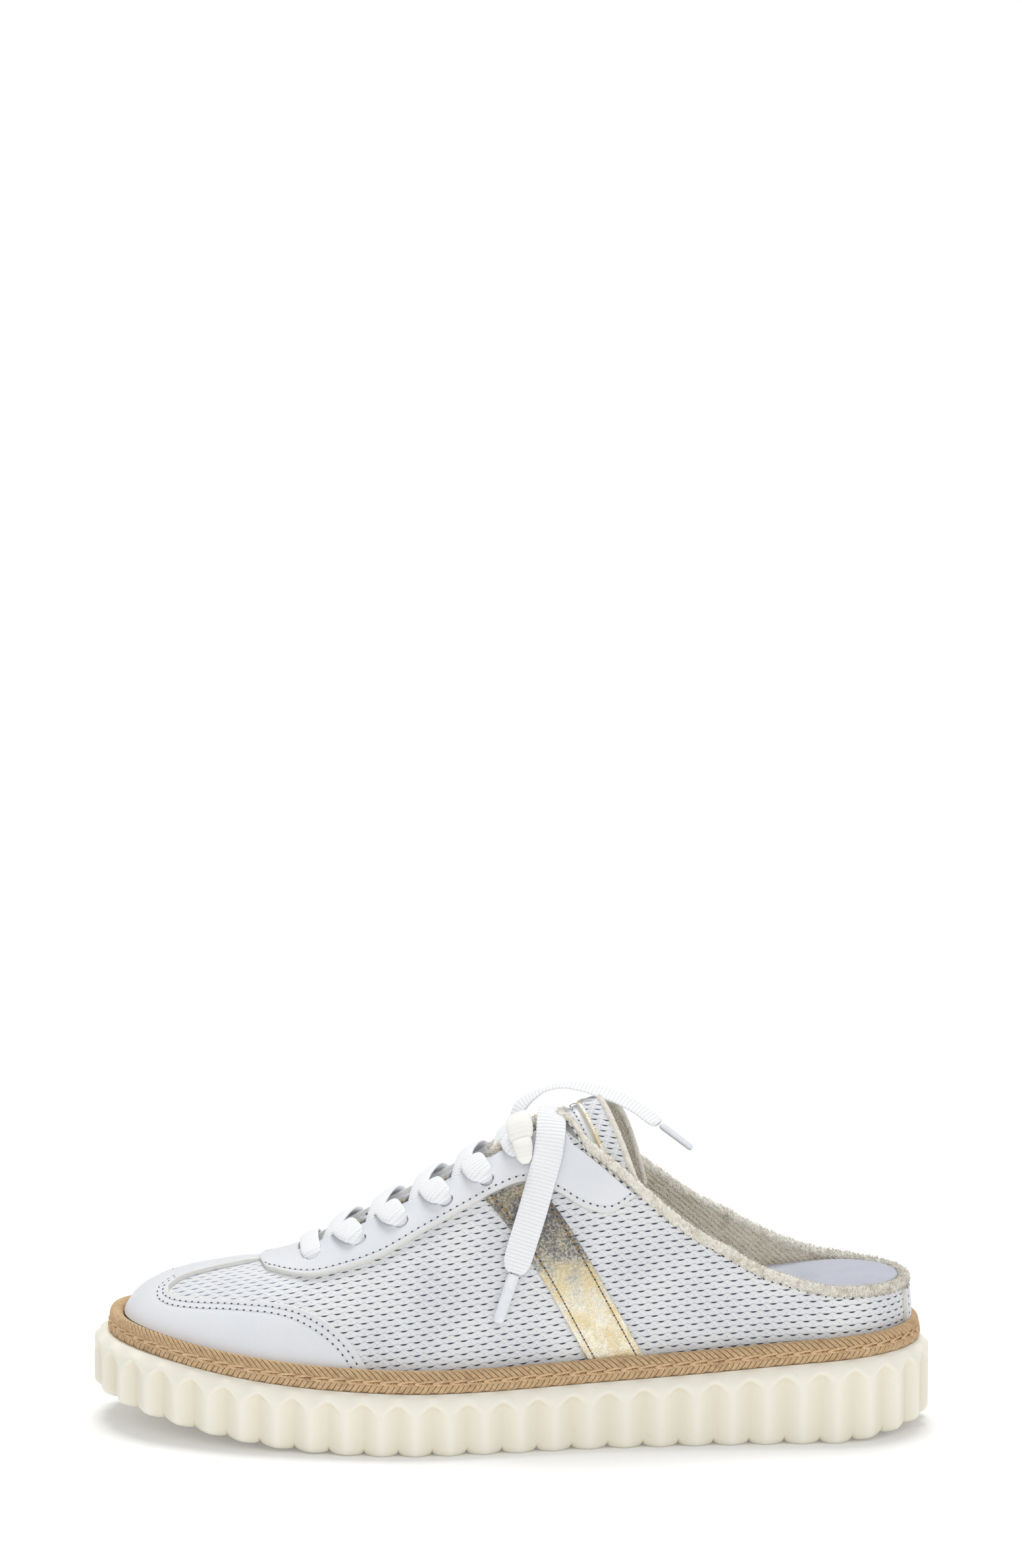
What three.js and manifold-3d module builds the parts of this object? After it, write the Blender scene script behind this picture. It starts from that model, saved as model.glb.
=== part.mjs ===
// Sneaker mule, left shoe: a backless trainer on a thick fluted sole with a rope welt.
// Millimetres, +Z up, toe towards -X, outer (lateral) side towards -Y, ground at Z = 0.
// Every piece of the upper is cut from one function, skin(), which is the form of the last.

import * as THREE from 'three';
import Module from 'manifold-3d';

const wasm = await Module();
wasm.setup();

// Driving dimensions of the last and the sole
const SOLE_LENGTH = 278;
const BALL_WIDTH = 100;
const SOLE_HEIGHT = 28.8;
const INSTEP_RISE = 94;
const HEEL_WEDGE = 20;

// Thicknesses and clearances
const FIT_GAP = 0.3;
const UPPER_WALL = 1.8;
const OVERLAY_THICKNESS = 1.2;
const TONGUE_THICKNESS = 2.6;
const TONGUE_GAP = 0.8;
const OVERLAY_GAP = 0.4;
const INSOLE_GAP = 0.5;
const SIDE_INSET = 8.2;
const TOE_INSET = 10.6;
const HEEL_INSET = 7.4;

// Rope welt and collar binding
const ROPE_HEIGHT = 7.5;
const ROPE_INSET = 4.0;
const BINDING_HEIGHT = 3.3;
const BINDING_PROUD = 1.3;
const BACKSTAY_HALF = 9;
const BAND_WIDTH = 15;

// Flutes round the sole and the lobes of its tread
const FLUTE_PITCH = 11.8;
const FLUTE_DEPTH = 1.7;
const ARCH_DROP = 2.4;
const ARCH_RISE = 3.6;
const NOTCH_DEPTH = 1.4;
const EDGE_ROUND = 2.6;

// Laces
const HOLE_RADIUS = 2.5;
const LACE_WIDTH = 7;
const LACE_END_WIDTH = 10;
const LACE_THICKNESS = 1.1;
const AGLET_WIDTH = 4;
const AGLET_THICKNESS = 2.2;
const KNOT_WIDTH = 9.6;
const KNOT_THICKNESS = 4.6;

// Plan of the sole: half width and sideways swing of its middle, as shares of BALL_WIDTH
const PLAN = [
  { at: 0.00, half: 0.440, swing: 0.090 },
  { at: 0.10, half: 0.452, swing: 0.060 },
  { at: 0.20, half: 0.470, swing: 0.012 },
  { at: 0.30, half: 0.492, swing: -0.024 },
  { at: 0.38, half: 0.490, swing: -0.045 },
  { at: 0.48, half: 0.444, swing: -0.052 },
  { at: 0.60, half: 0.388, swing: -0.041 },
  { at: 0.72, half: 0.366, swing: -0.024 },
  { at: 0.84, half: 0.360, swing: -0.004 },
  { at: 1.00, half: 0.360, swing: 0.000 },
];
const TOE_ROUND = { run: 0.22, power: 2.2 };
const HEEL_ROUND = { run: 0.13, power: 2.0 };

// Side view of the sole: its top and its underside above the ground, as shares of SOLE_HEIGHT
const SIDE = [
  { at: 0.00, top: 1.024, under: 0.380 },
  { at: 0.07, top: 0.951, under: 0.255 },
  { at: 0.155, top: 0.844, under: 0.128 },
  { at: 0.24, top: 0.760, under: 0.035 },
  { at: 0.325, top: 0.722, under: 0.000 },
  { at: 0.44, top: 0.705, under: 0.000 },
  { at: 0.55, top: 0.736, under: 0.000 },
  { at: 0.65, top: 0.781, under: 0.000 },
  { at: 0.74, top: 0.837, under: 0.000 },
  { at: 0.82, top: 0.899, under: 0.000 },
  { at: 0.89, top: 0.951, under: 0.000 },
  { at: 0.94, top: 0.979, under: 0.052 },
  { at: 1.00, top: 1.000, under: 0.140 },
];

// Ridge of the last above the sole's top as shares of INSTEP_RISE, with the shape of each
// section: how far its shoulder reaches in, and how steeply its side rises
const RIDGE = [
  { at: 0.094, rise: 0.215, shoulder: 0.40, steep: 0.50 },
  { at: 0.12, rise: 0.249, shoulder: 0.40, steep: 0.50 },
  { at: 0.16, rise: 0.289, shoulder: 0.40, steep: 0.50 },
  { at: 0.20, rise: 0.327, shoulder: 0.42, steep: 0.50 },
  { at: 0.25, rise: 0.386, shoulder: 0.44, steep: 0.50 },
  { at: 0.30, rise: 0.474, shoulder: 0.46, steep: 0.48 },
  { at: 0.35, rise: 0.564, shoulder: 0.46, steep: 0.46 },
  { at: 0.40, rise: 0.655, shoulder: 0.46, steep: 0.44 },
  { at: 0.45, rise: 0.746, shoulder: 0.46, steep: 0.42 },
  { at: 0.50, rise: 0.834, shoulder: 0.46, steep: 0.40 },
  { at: 0.56, rise: 0.931, shoulder: 0.46, steep: 0.40 },
  { at: 0.64, rise: 0.985, shoulder: 0.46, steep: 0.40 },
  { at: 0.74, rise: 1.000, shoulder: 0.46, steep: 0.40 },
  { at: 1.00, rise: 0.950, shoulder: 0.46, steep: 0.40 },
];
const TOE_CREST = { lean: 0.094, fan: 0.30 };
const HEEL_CREST = { lean: 0.13, fan: 0.35 };

// Throat and collar line on the outer and inner side, as shares of the run from feather edge
// to ridge; ahead of the throat the rows only divide the vamp
const TOP_LINE = [
  { at: 0.00, outer: 0.800, inner: 0.800 },
  { at: 0.12, outer: 0.850, inner: 0.850 },
  { at: 0.245, outer: 0.925, inner: 0.925 },
  { at: 0.28, outer: 0.895, inner: 0.895 },
  { at: 0.33, outer: 0.848, inner: 0.848 },
  { at: 0.38, outer: 0.824, inner: 0.824 },
  { at: 0.43, outer: 0.815, inner: 0.815 },
  { at: 0.475, outer: 0.815, inner: 0.815 },
  { at: 0.52, outer: 0.822, inner: 0.822 },
  { at: 0.55, outer: 0.808, inner: 0.808 },
  { at: 0.572, outer: 0.755, inner: 0.755 },
  { at: 0.61, outer: 0.642, inner: 0.642 },
  { at: 0.636, outer: 0.568, inner: 0.573 },
  { at: 0.662, outer: 0.503, inner: 0.512 },
  { at: 0.688, outer: 0.443, inner: 0.456 },
  { at: 0.719, outer: 0.383, inner: 0.398 },
  { at: 0.76, outer: 0.325, inner: 0.341 },
  { at: 0.801, outer: 0.265, inner: 0.281 },
  { at: 0.835, outer: 0.233, inner: 0.243 },
  { at: 0.872, outer: 0.205, inner: 0.211 },
  { at: 0.918, outer: 0.193, inner: 0.195 },
  { at: 0.966, outer: 0.185, inner: 0.185 },
  { at: 1.00, outer: 0.182, inner: 0.182 },
];
const THROAT_FRONT = 0.245;
const BINDING_START = 0.576;
const BINDING_NOTCH = 0.564;

// Lower edge of the eyestay
const EYESTAY_EDGE = [
  { at: 0.188, up: 1.000 },
  { at: 0.197, up: 0.865 },
  { at: 0.215, up: 0.775 },
  { at: 0.233, up: 0.715 },
  { at: 0.263, up: 0.640 },
  { at: 0.309, up: 0.598 },
  { at: 0.343, up: 0.592 },
  { at: 0.396, up: 0.620 },
  { at: 0.448, up: 0.637 },
  { at: 0.490, up: 0.645 },
  { at: 0.514, up: 0.636 },
  { at: 0.556, up: 0.550 },
  { at: 0.592, up: 0.472 },
  { at: 0.622, up: 0.448 },
  { at: 0.653, up: 0.488 },
];

// Upper edge of the toe cap
const TOE_CAP_EDGE = [
  { at: 0.000, up: 1.000 },
  { at: 0.012, up: 0.900 },
  { at: 0.030, up: 0.800 },
  { at: 0.048, up: 0.715 },
  { at: 0.065, up: 0.620 },
  { at: 0.095, up: 0.575 },
  { at: 0.138, up: 0.557 },
  { at: 0.181, up: 0.535 },
  { at: 0.217, up: 0.502 },
  { at: 0.247, up: 0.445 },
  { at: 0.272, up: 0.367 },
  { at: 0.297, up: 0.270 },
  { at: 0.316, up: 0.175 },
  { at: 0.328, up: 0.100 },
];

// Slanted side band: its middle at the welt and at the eyestay
const BAND = { foot: 0.628, head: 0.505 };

// Tongue: side edge, and its free edge behind the collar
const TONGUE_SIDE = [
  { at: 0.150, up: 0.780 },
  { at: 0.300, up: 0.700 },
  { at: 0.500, up: 0.650 },
  { at: 0.580, up: 0.560 },
  { at: 0.660, up: 0.450 },
];
const TONGUE_END = { crest: 0.604, side: 0.662, power: 1.6 };

// How far the laces press the middle of the tongue down, in millimetres
const TONGUE_PRESS = [
  { at: 0.150, press: 0.0 },
  { at: 0.240, press: 1.2 },
  { at: 0.400, press: 1.8 },
  { at: 0.480, press: 3.4 },
  { at: 0.530, press: 3.4 },
  { at: 0.575, press: 0.6 },
  { at: 0.604, press: 0.0 },
];

// Insole: thickness as shares of HEEL_WEDGE
const INSOLE = [
  { at: 0.00, thick: 0.26 },
  { at: 0.30, thick: 0.30 },
  { at: 0.45, thick: 0.50 },
  { at: 0.60, thick: 0.78 },
  { at: 0.75, thick: 0.96 },
  { at: 0.90, thick: 1.00 },
  { at: 1.00, thick: 1.00 },
];

// Eyelet holes on each side of the throat
const HOLES = [
  { at: 0.265, up: 0.790 },
  { at: 0.322, up: 0.735 },
  { at: 0.373, up: 0.722 },
  { at: 0.427, up: 0.716 },
  { at: 0.475, up: 0.715 },
  { at: 0.521, up: 0.733 },
];

// Knot and the two free lace ends over the last: side -1 outer, 1 inner; over is millimetres
const KNOT_ROUTE = [
  { side: -1, at: 0.512, up: 0.752, over: 6.2 },
  { side: -1, at: 0.512, up: 0.820, over: 6.2 },
  { side: -1, at: 0.512, up: 0.880, over: 5.6 },
  { side: -1, at: 0.512, up: 0.935, over: 4.6 },
];
const OUTER_END = [
  { side: -1, at: 0.551, up: 0.985, over: 3.8 },
  { side: -1, at: 0.551, up: 0.950, over: 5.0 },
  { side: -1, at: 0.551, up: 0.905, over: 5.4 },
  { side: -1, at: 0.551, up: 0.850, over: 4.9 },
  { side: -1, at: 0.549, up: 0.780, over: 4.0 },
  { side: -1, at: 0.545, up: 0.690, over: 3.4 },
  { side: -1, at: 0.537, up: 0.600, over: 3.0 },
  { side: -1, at: 0.528, up: 0.510, over: 3.0 },
  { side: -1, at: 0.518, up: 0.430, over: 3.0 },
  { side: -1, at: 0.508, up: 0.350, over: 3.0 },
];
const INNER_END = [
  { side: 1, at: 0.497, up: 0.930, over: 3.2 },
  { side: 1, at: 0.520, up: 0.930, over: 4.6 },
  { side: 1, at: 0.543, up: 0.932, over: 4.8 },
  { side: 1, at: 0.566, up: 0.935, over: 3.4 },
  { side: 1, at: 0.588, up: 0.940, over: 1.0 },
  { side: 1, at: 0.606, up: 0.940, over: -1.6 },
  { side: 1, at: 0.626, up: 0.940, over: -4.8 },
  { side: 1, at: 0.650, up: 0.935, over: -10.6 },
  { side: 1, at: 0.668, up: 0.930, over: -15.6 },
];
const OUTER_AGLET = [
  { side: -1, at: 0.5076, up: 0.3465, over: 3.0 },
  { side: -1, at: 0.488, up: 0.215, over: 3.2 },
];
const INNER_AGLET = [
  { side: 1, at: 0.6705, up: 0.930, over: -16.3 },
  { side: 1, at: 0.709, up: 0.930, over: -25.4 },
];

// Mesh density
const SHEET_COLUMNS = { vamp: 10, throat: 8, notch: 1, collar: 12 };
const SHEET_ROWS = 6;
const VAMP_ROWS = 2;
const ROPE_COLUMNS = 36;
const HOLE_SIDES = 8;

// Value of a table's column by a smooth curve through its rows
function along(table, column, at) {
  const last = table.length - 1;
  const place = Math.min(Math.max(at, table[0].at), table[last].at);
  let i = 0;
  while (i < last - 1 && place > table[i + 1].at) i += 1;
  const rise = (k) => (table[k + 1][column] - table[k][column]) / (table[k + 1].at - table[k].at);
  const run = (k) => table[k + 1].at - table[k].at;
  const slope = (k) => {
    if (k === 0) return rise(0);
    if (k === last) return rise(last - 1);
    return (rise(k - 1) * run(k) + rise(k) * run(k - 1)) / (run(k - 1) + run(k));
  };
  const h = run(i);
  const t = (place - table[i].at) / h;
  return table[i][column] * (1 + 2 * t) * (1 - t) ** 2 + slope(i) * h * t * (1 - t) ** 2
    + table[i + 1][column] * t * t * (3 - 2 * t) + slope(i + 1) * h * t * t * (t - 1);
}

// Columns stand closer together at toe and heel: step s from 0 to 1 gives the share of length
const station = (s) => (1 - Math.cos(Math.PI * s)) / 2;
const stepAt = (share) => Math.acos(1 - 2 * Math.min(Math.max(share, 0), 1)) / Math.PI;
const shareOf = (x) => x / SOLE_LENGTH + 0.5;
const mix = (a, b, t) => a + (b - a) * t;

// How much of the full half width is left near the rounded toe and heel
function endRound(c) {
  const close = (distance, end) => {
    const t = Math.min(Math.max(distance / end.run, 0), 1);
    return (1 - (1 - t) ** end.power) ** (1 / end.power);
  };
  return close(c, TOE_ROUND) * close(1 - c, HEEL_ROUND);
}

// Point of the sole's outline in plan; past either end it goes on along the other side
function outline(s, side) {
  if (s < 0) return outline(-s, -side);
  if (s > 1) return outline(2 - s, -side);
  const c = station(s);
  const half = along(PLAN, 'half', c) * endRound(c);
  const y = BALL_WIDTH * (along(PLAN, 'swing', c) + side * half);
  return new THREE.Vector2(SOLE_LENGTH * (c - 0.5), y);
}

// The same outline moved inwards at right angles by inset
function insetOutline(s, side, inset) {
  const step = 1e-4;
  const along2 = outline(s + step, side).sub(outline(s - step, side)).normalize();
  const inward = new THREE.Vector2(along2.y, -along2.x).multiplyScalar(side);
  return outline(s, side).addScaledVector(inward, inset);
}

const soleTop = (x) => SOLE_HEIGHT * along(SIDE, 'top', shareOf(x));
const soleUnder = (x) => SOLE_HEIGHT * Math.max(along(SIDE, 'under', shareOf(x)), 0);

// Inset of the upper's foot from the sole's outline
function upperInset(c) {
  const toe = Math.max(1 - c / 0.15, 0) ** 2;
  const heel = Math.max(1 - (1 - c) / 0.25, 0) ** 2;
  return SIDE_INSET + (TOE_INSET - SIDE_INSET) * toe + (HEEL_INSET - SIDE_INSET) * heel;
}

// Share of length at which a column meets the ridge: columns fan in round toe and heel
function crest(c) {
  const toe = TOE_CREST.lean * Math.max(1 - c / TOE_CREST.fan, 0) ** 2;
  const heel = HEEL_CREST.lean * Math.max(1 - (1 - c) / HEEL_CREST.fan, 0) ** 2;
  return c + toe - heel;
}

const ridgeHeight = (c) => soleTop(SOLE_LENGTH * (c - 0.5)) + INSTEP_RISE * along(RIDGE, 'rise', c);

// The form of the last: each section is a cubic curve from the feather edge up to the ridge
function form(side, s, q) {
  if (s < 0) return form(-side, -s, q);
  if (s > 1) return form(-side, 2 - s, q);
  if (q > 1) return form(-side, s, 2 - q);
  const c = station(s);
  const foot = insetOutline(s, side, upperInset(c));
  const footHeight = soleTop(foot.x) + FIT_GAP;
  const top = crest(c);
  const x = SOLE_LENGTH * (top - 0.5);
  const y = BALL_WIDTH * along(PLAN, 'swing', top);
  const z = ridgeHeight(top);
  const step = 1e-3;
  const slope = (ridgeHeight(top + step) - ridgeHeight(top)) / (step * SOLE_LENGTH);
  const shoulder = along(RIDGE, 'shoulder', top);
  const lift = 1 - slope * (x - foot.x) * (1 - shoulder) / (z - footHeight);
  const p = 1 - q;
  const inward = 3 * p * q * q * shoulder + q ** 3;
  const upward = 3 * p * p * q * along(RIDGE, 'steep', top) + 3 * p * q * q * lift + q ** 3;
  return new THREE.Vector3(
    mix(foot.x, x, inward),
    mix(foot.y, y, inward),
    mix(footHeight, z, upward),
  );
}

// Outward direction of the form
function facing(side, s, q) {
  const step = 2e-3;
  const low = Math.max(q - step, 0);
  const lengthways = form(side, s + step, q).sub(form(side, s - step, q));
  const upwards = form(side, s, q + step).sub(form(side, s, low));
  return lengthways.cross(upwards).multiplyScalar(-side).normalize();
}

// A point at a height over the form: 0 is the outer face of the upper's wall
function skin(side, s, q, over) {
  return form(side, s, q).addScaledVector(facing(side, s, q), over);
}

// Millimetres of run for a whole unit of q, near q
function runLength(side, s, q) {
  const step = 0.01;
  return form(side, s, q + step).distanceTo(form(side, s, q - step)) / (2 * step);
}

// Share of the run at which the form stands at a height over the sole's top
function upAtHeight(side, s, height) {
  let low = 0;
  let high = 0.6;
  for (let i = 0; i < 24; i += 1) {
    const middle = (low + high) / 2;
    const point = form(side, s, middle);
    if (point.z - soleTop(point.x) < height) low = middle;
    else high = middle;
  }
  return (low + high) / 2;
}

const topLine = (side, s) => along(TOP_LINE, side < 0 ? 'outer' : 'inner', station(s));

// Share of the run that a strip takes up below the top line, for its height square to the line
function dropBelow(side, s, height) {
  const line = topLine(side, s);
  const step = 0.004;
  const run = runLength(side, s, line);
  const length = form(side, s + step, line).distanceTo(form(side, s - step, line));
  const steep = ((topLine(side, s + step) - topLine(side, s - step)) * run) / length;
  return (height * Math.hypot(1, s < 1 - step ? steep : 0)) / run;
}

// Top edge of the wall; along the collar it stops under the binding
function wallTop(side, s) {
  const along2 = (station(s) - BINDING_NOTCH) / (BINDING_START - BINDING_NOTCH);
  const ramp = Math.min(Math.max(along2, 0), 1);
  return topLine(side, s) - ramp * dropBelow(side, s, BINDING_HEIGHT + 2 * FIT_GAP);
}

// A closed body from points and faces, welded and turned to face out
class Body {
  constructor() {
    this.points = [];
    this.partners = [];
    this.faces = [];
    this.known = new Map();
  }

  point(place, partner = null) {
    const key = [place.x, place.y, place.z].map((v) => Math.round(v * 2000)).join(',');
    if (!this.known.has(key)) {
      this.known.set(key, this.points.length);
      this.points.push(place);
      this.partners.push(partner);
    }
    return this.known.get(key);
  }

  triangle(a, b, c) {
    if (a !== b && b !== c && c !== a) this.faces.push([a, b, c]);
  }

  quad(a, b, c, d) {
    const across = this.points[a].distanceTo(this.points[c]);
    const other = this.points[b].distanceTo(this.points[d]);
    if (across <= other) {
      this.triangle(a, b, c);
      this.triangle(a, c, d);
    } else {
      this.triangle(a, b, d);
      this.triangle(b, c, d);
    }
  }

  // A grid of points given by pointAt(i, j), with an optional partner on the other face
  grid(columns, rows, pointAt, partnerAt = null) {
    const ids = [];
    for (let i = 0; i <= columns; i += 1) {
      ids.push([]);
      for (let j = 0; j <= rows; j += 1) {
        const partner = partnerAt ? partnerAt(i, j) : null;
        ids[i].push(this.point(pointAt(i, j), partner));
      }
    }
    for (let i = 0; i < columns; i += 1) {
      for (let j = 0; j < rows; j += 1) {
        this.quad(ids[i][j], ids[i + 1][j], ids[i + 1][j + 1], ids[i][j + 1]);
      }
    }
  }

  geometry() {
    let volume = 0;
    for (const [a, b, c] of this.faces) {
      const cross = this.points[b].clone().cross(this.points[c]);
      volume += this.points[a].dot(cross);
    }
    const index = this.faces.flatMap(([a, b, c]) => (volume > 0 ? [a, b, c] : [a, c, b]));
    const geometry = new THREE.BufferGeometry();
    const places = this.points.flatMap((p) => [p.x, p.y, p.z]);
    geometry.setAttribute('position', new THREE.Float32BufferAttribute(places, 3));
    geometry.setIndex(index);
    return geometry;
  }
}

// Gives a sheet its wall: the partners become the back face, and every open edge is closed
function thicken(sheet) {
  const body = new Body();
  const front = sheet.points.map((p) => body.point(p));
  const back = sheet.partners.map((p) => body.point(p));
  const open = new Map();
  for (const [a, b, c] of sheet.faces) {
    body.triangle(front[a], front[b], front[c]);
    body.triangle(back[a], back[c], back[b]);
    for (const [p, q] of [[a, b], [b, c], [c, a]]) {
      if (open.has(`${q},${p}`)) open.delete(`${q},${p}`);
      else open.set(`${p},${q}`, [p, q]);
    }
  }
  for (const [p, q] of open.values()) body.quad(front[q], front[p], back[p], back[q]);
  return body.geometry();
}

// A patch of the form on the columns given by steps; upAt(s, v) gives the share of the run.
// The inner side runs the other way, so that all faces of one sheet turn alike.
function patch(sheet, side, steps, rows, outer, inner, upAt) {
  const last = steps.length - 1;
  const place = (over) => (i, j) => {
    const s = steps[side < 0 ? i : last - i];
    return skin(side, s, upAt(s, j / rows), over);
  };
  sheet.grid(last, rows, place(outer), place(inner));
}

// A closed tube through rings of points, with both ends filled
function loft(rings, closed = false) {
  const body = new Body();
  const around = rings[0].length;
  const last = closed ? rings.length : rings.length - 1;
  body.grid(last, around, (i, j) => rings[i % rings.length][j % around]);
  if (!closed) {
    const middle = (ring) => ring.reduce((sum, p) => sum.add(p), new THREE.Vector3())
      .divideScalar(ring.length);
    const start = body.point(middle(rings[0]));
    const end = body.point(middle(rings[rings.length - 1]));
    for (let j = 0; j < around; j += 1) {
      const next = (j + 1) % around;
      body.triangle(start, body.point(rings[0][j]), body.point(rings[0][next]));
      const tail = rings[rings.length - 1];
      body.triangle(end, body.point(tail[next]), body.point(tail[j]));
    }
  }
  return body.geometry();
}

// A plate with a rim of rings from bottom to top, filled across below and above
function plate(steps, rings, across, under, over) {
  const body = new Body();
  const columns = steps.length - 1;
  const highest = rings - 1;
  return (rimAt) => {
    for (const side of [-1, 1]) {
      const at = (i) => (side < 0 ? i : columns - i);
      body.grid(columns, highest, (i, j) => rimAt(side, at(i), j));
    }
    const fill = (ring, height) => (i, j) => {
      const outer = rimAt(-1, i, ring);
      if (j === 0) return outer;
      const inner = rimAt(1, i, ring);
      if (j === across) return inner;
      const point = outer.lerp(inner, j / across);
      point.z = height(point.x, i, j / across);
      return point;
    };
    body.grid(columns, across, (i, j) => fill(0, under)(columns - i, j));
    body.grid(columns, across, fill(highest, over));
    return body.geometry();
  };
}

function toSolid(geometry) {
  return new wasm.Manifold(new wasm.Mesh({
    numProp: 3,
    vertProperties: new Float32Array(geometry.getAttribute('position').array),
    triVerts: new Uint32Array(geometry.getIndex().array),
  }));
}

function toGeometry(solid) {
  const mesh = solid.getMesh();
  const geometry = new THREE.BufferGeometry();
  geometry.setAttribute('position', new THREE.BufferAttribute(mesh.vertProperties, 3));
  geometry.setIndex(new THREE.BufferAttribute(mesh.triVerts, 1));
  return geometry;
}

// Steps s that divide the outline evenly along its mean length
function evenSteps(count) {
  const samples = 600;
  const lengths = [0];
  for (let i = 1; i <= samples; i += 1) {
    const a = (i - 1) / samples;
    const b = i / samples;
    const step = (outline(a, -1).distanceTo(outline(b, -1))
      + outline(a, 1).distanceTo(outline(b, 1))) / 2;
    lengths.push(lengths[i - 1] + step);
  }
  const total = lengths[samples];
  const steps = [];
  let i = 0;
  for (let k = 0; k <= count; k += 1) {
    const wanted = (total * k) / count;
    while (i < samples - 1 && lengths[i + 1] < wanted) i += 1;
    const t = (wanted - lengths[i]) / (lengths[i + 1] - lengths[i]);
    steps.push((i + Math.min(t, 1)) / samples);
  }
  return { steps, total };
}

// Outsole: fluted side wall under a smooth band, with a lobe of tread under each ridge
function makeOutsole() {
  const perFlute = 4;
  const flutes = Math.round(evenSteps(1).total / FLUTE_PITCH);
  const { steps } = evenSteps(flutes * perFlute);
  const fromGroove = (k) => Math.abs(((k + perFlute / 2) % perFlute) / perFlute - 0.5) * 2;
  const scoop = (k) => FLUTE_DEPTH * (1 - fromGroove(k) ** 2);
  const notch = (k) => (fromGroove(k) === 0 ? NOTCH_DEPTH : 0);
  const arch = (k) => ARCH_DROP + ARCH_RISE * fromGroove(k) ** 1.5;
  const rim = (side, k, ring) => {
    const flat = insetOutline(steps[k], side, 0);
    const top = soleTop(flat.x);
    const under = soleUnder(flat.x);
    const rings = [
      { inset: EDGE_ROUND, z: under + notch(k) },
      { inset: 0.2 + scoop(k), z: under + notch(k) + EDGE_ROUND },
      { inset: 0.3 + scoop(k), z: top - arch(k) - 1.4 },
      { inset: 0.5, z: top - arch(k) },
      { inset: ROPE_INSET - 0.4, z: top },
    ];
    const place = insetOutline(steps[k], side, rings[ring].inset);
    return new THREE.Vector3(place.x, place.y, rings[ring].z);
  };
  const under = (x, k) => soleUnder(x) + notch(k);
  return plate(steps, 5, 2, under, (x) => soleTop(x))(rim);
}

// Rope welt: two rows of cord with a chain of stitches between them, on the sole's edge
function makeRopeWelt() {
  const section = [
    { out: 0.1, up: 0.05 }, { out: -0.5, up: 0.26 }, { out: 0.25, up: 0.48 },
    { out: -0.5, up: 0.74 }, { out: 0.2, up: 0.95 },
  ];
  const ring = (side, s) => {
    const inner = upperInset(station(s)) - FIT_GAP;
    const points = section.map(({ out, up }) => {
      const place = insetOutline(s, side, ROPE_INSET + out);
      const z = soleTop(place.x) + FIT_GAP + up * (ROPE_HEIGHT - FIT_GAP);
      return new THREE.Vector3(place.x, place.y, z);
    });
    const back = insetOutline(s, side, inner);
    const low = soleTop(back.x) + FIT_GAP;
    points.push(new THREE.Vector3(back.x, back.y, low + ROPE_HEIGHT - FIT_GAP));
    points.push(new THREE.Vector3(back.x, back.y, low));
    return points;
  };
  const { steps } = evenSteps(ROPE_COLUMNS);
  const rings = steps.map((s) => ring(-1, s));
  for (let k = ROPE_COLUMNS - 1; k > 0; k -= 1) rings.push(ring(1, steps[k]));
  return loft(rings, true);
}

// Columns of the upper's wall: one falls on each place where its top edge changes
function divide(stops, counts) {
  const steps = [stops[0]];
  counts.forEach((count, part) => {
    for (let k = 1; k <= count; k += 1) steps.push(mix(stops[part], stops[part + 1], k / count));
  });
  return steps;
}
const SHEET_STOPS = [0, stepAt(THROAT_FRONT), stepAt(BINDING_NOTCH), stepAt(BINDING_START), 1];
const SHEET_STEPS = divide(SHEET_STOPS, Object.values(SHEET_COLUMNS));

// The wall's columns between two places, each gap of them split in parts
function columnsBetween(first, last, parts) {
  const within = SHEET_STEPS.filter((s) => s > first + 1e-3 && s < last - 1e-3);
  const stops = [first, ...within, last];
  return divide(stops, stops.slice(1).map(() => parts));
}

// Insole: a padded wedge that fills the upper's foot, highest at the heel
function makeInsole() {
  const steps = SHEET_STEPS;
  const inner = -(UPPER_WALL + INSOLE_GAP);
  const thickness = (x) => HEEL_WEDGE * along(INSOLE, 'thick', shareOf(x));
  const rim = (side, k, ring) => {
    const s = steps[k];
    const x = form(side, s, 0).x;
    const share = ring === 0 ? 0 : upAtHeight(side, s, FIT_GAP + thickness(x) * (ring / 2));
    const point = skin(side, s, share, inner);
    point.z = soleTop(point.x) + FIT_GAP + thickness(point.x) * (ring / 2);
    return point;
  };
  const under = (x) => soleTop(x) + FIT_GAP;
  return plate(steps, 3, 3, under, (x) => soleTop(x) + FIT_GAP + thickness(x))(rim);
}

// Cutters for the eyelet holes, square to the form
function holeCutters() {
  const depth = 4 * (UPPER_WALL + OVERLAY_THICKNESS);
  const cutters = [];
  for (const side of [-1, 1]) {
    for (const { at, up } of HOLES) {
      const s = stepAt(at);
      const bore = new THREE.CylinderGeometry(HOLE_RADIUS, HOLE_RADIUS, depth, HOLE_SIDES);
      const turn = new THREE.Quaternion().setFromUnitVectors(
        new THREE.Vector3(0, 1, 0),
        facing(side, s, up),
      );
      const body = new Body();
      const place = bore.getAttribute('position');
      const centre = form(side, s, up);
      const ids = [];
      for (let i = 0; i < place.count; i += 1) {
        const point = new THREE.Vector3().fromBufferAttribute(place, i);
        ids.push(body.point(point.applyQuaternion(turn).add(centre)));
      }
      const index = bore.getIndex().array;
      for (let i = 0; i < index.length; i += 3) {
        body.triangle(ids[index[i]], ids[index[i + 1]], ids[index[i + 2]]);
      }
      cutters.push(toSolid(body.geometry()));
    }
  }
  return cutters.reduce((all, cutter) => all.add(cutter));
}

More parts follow.
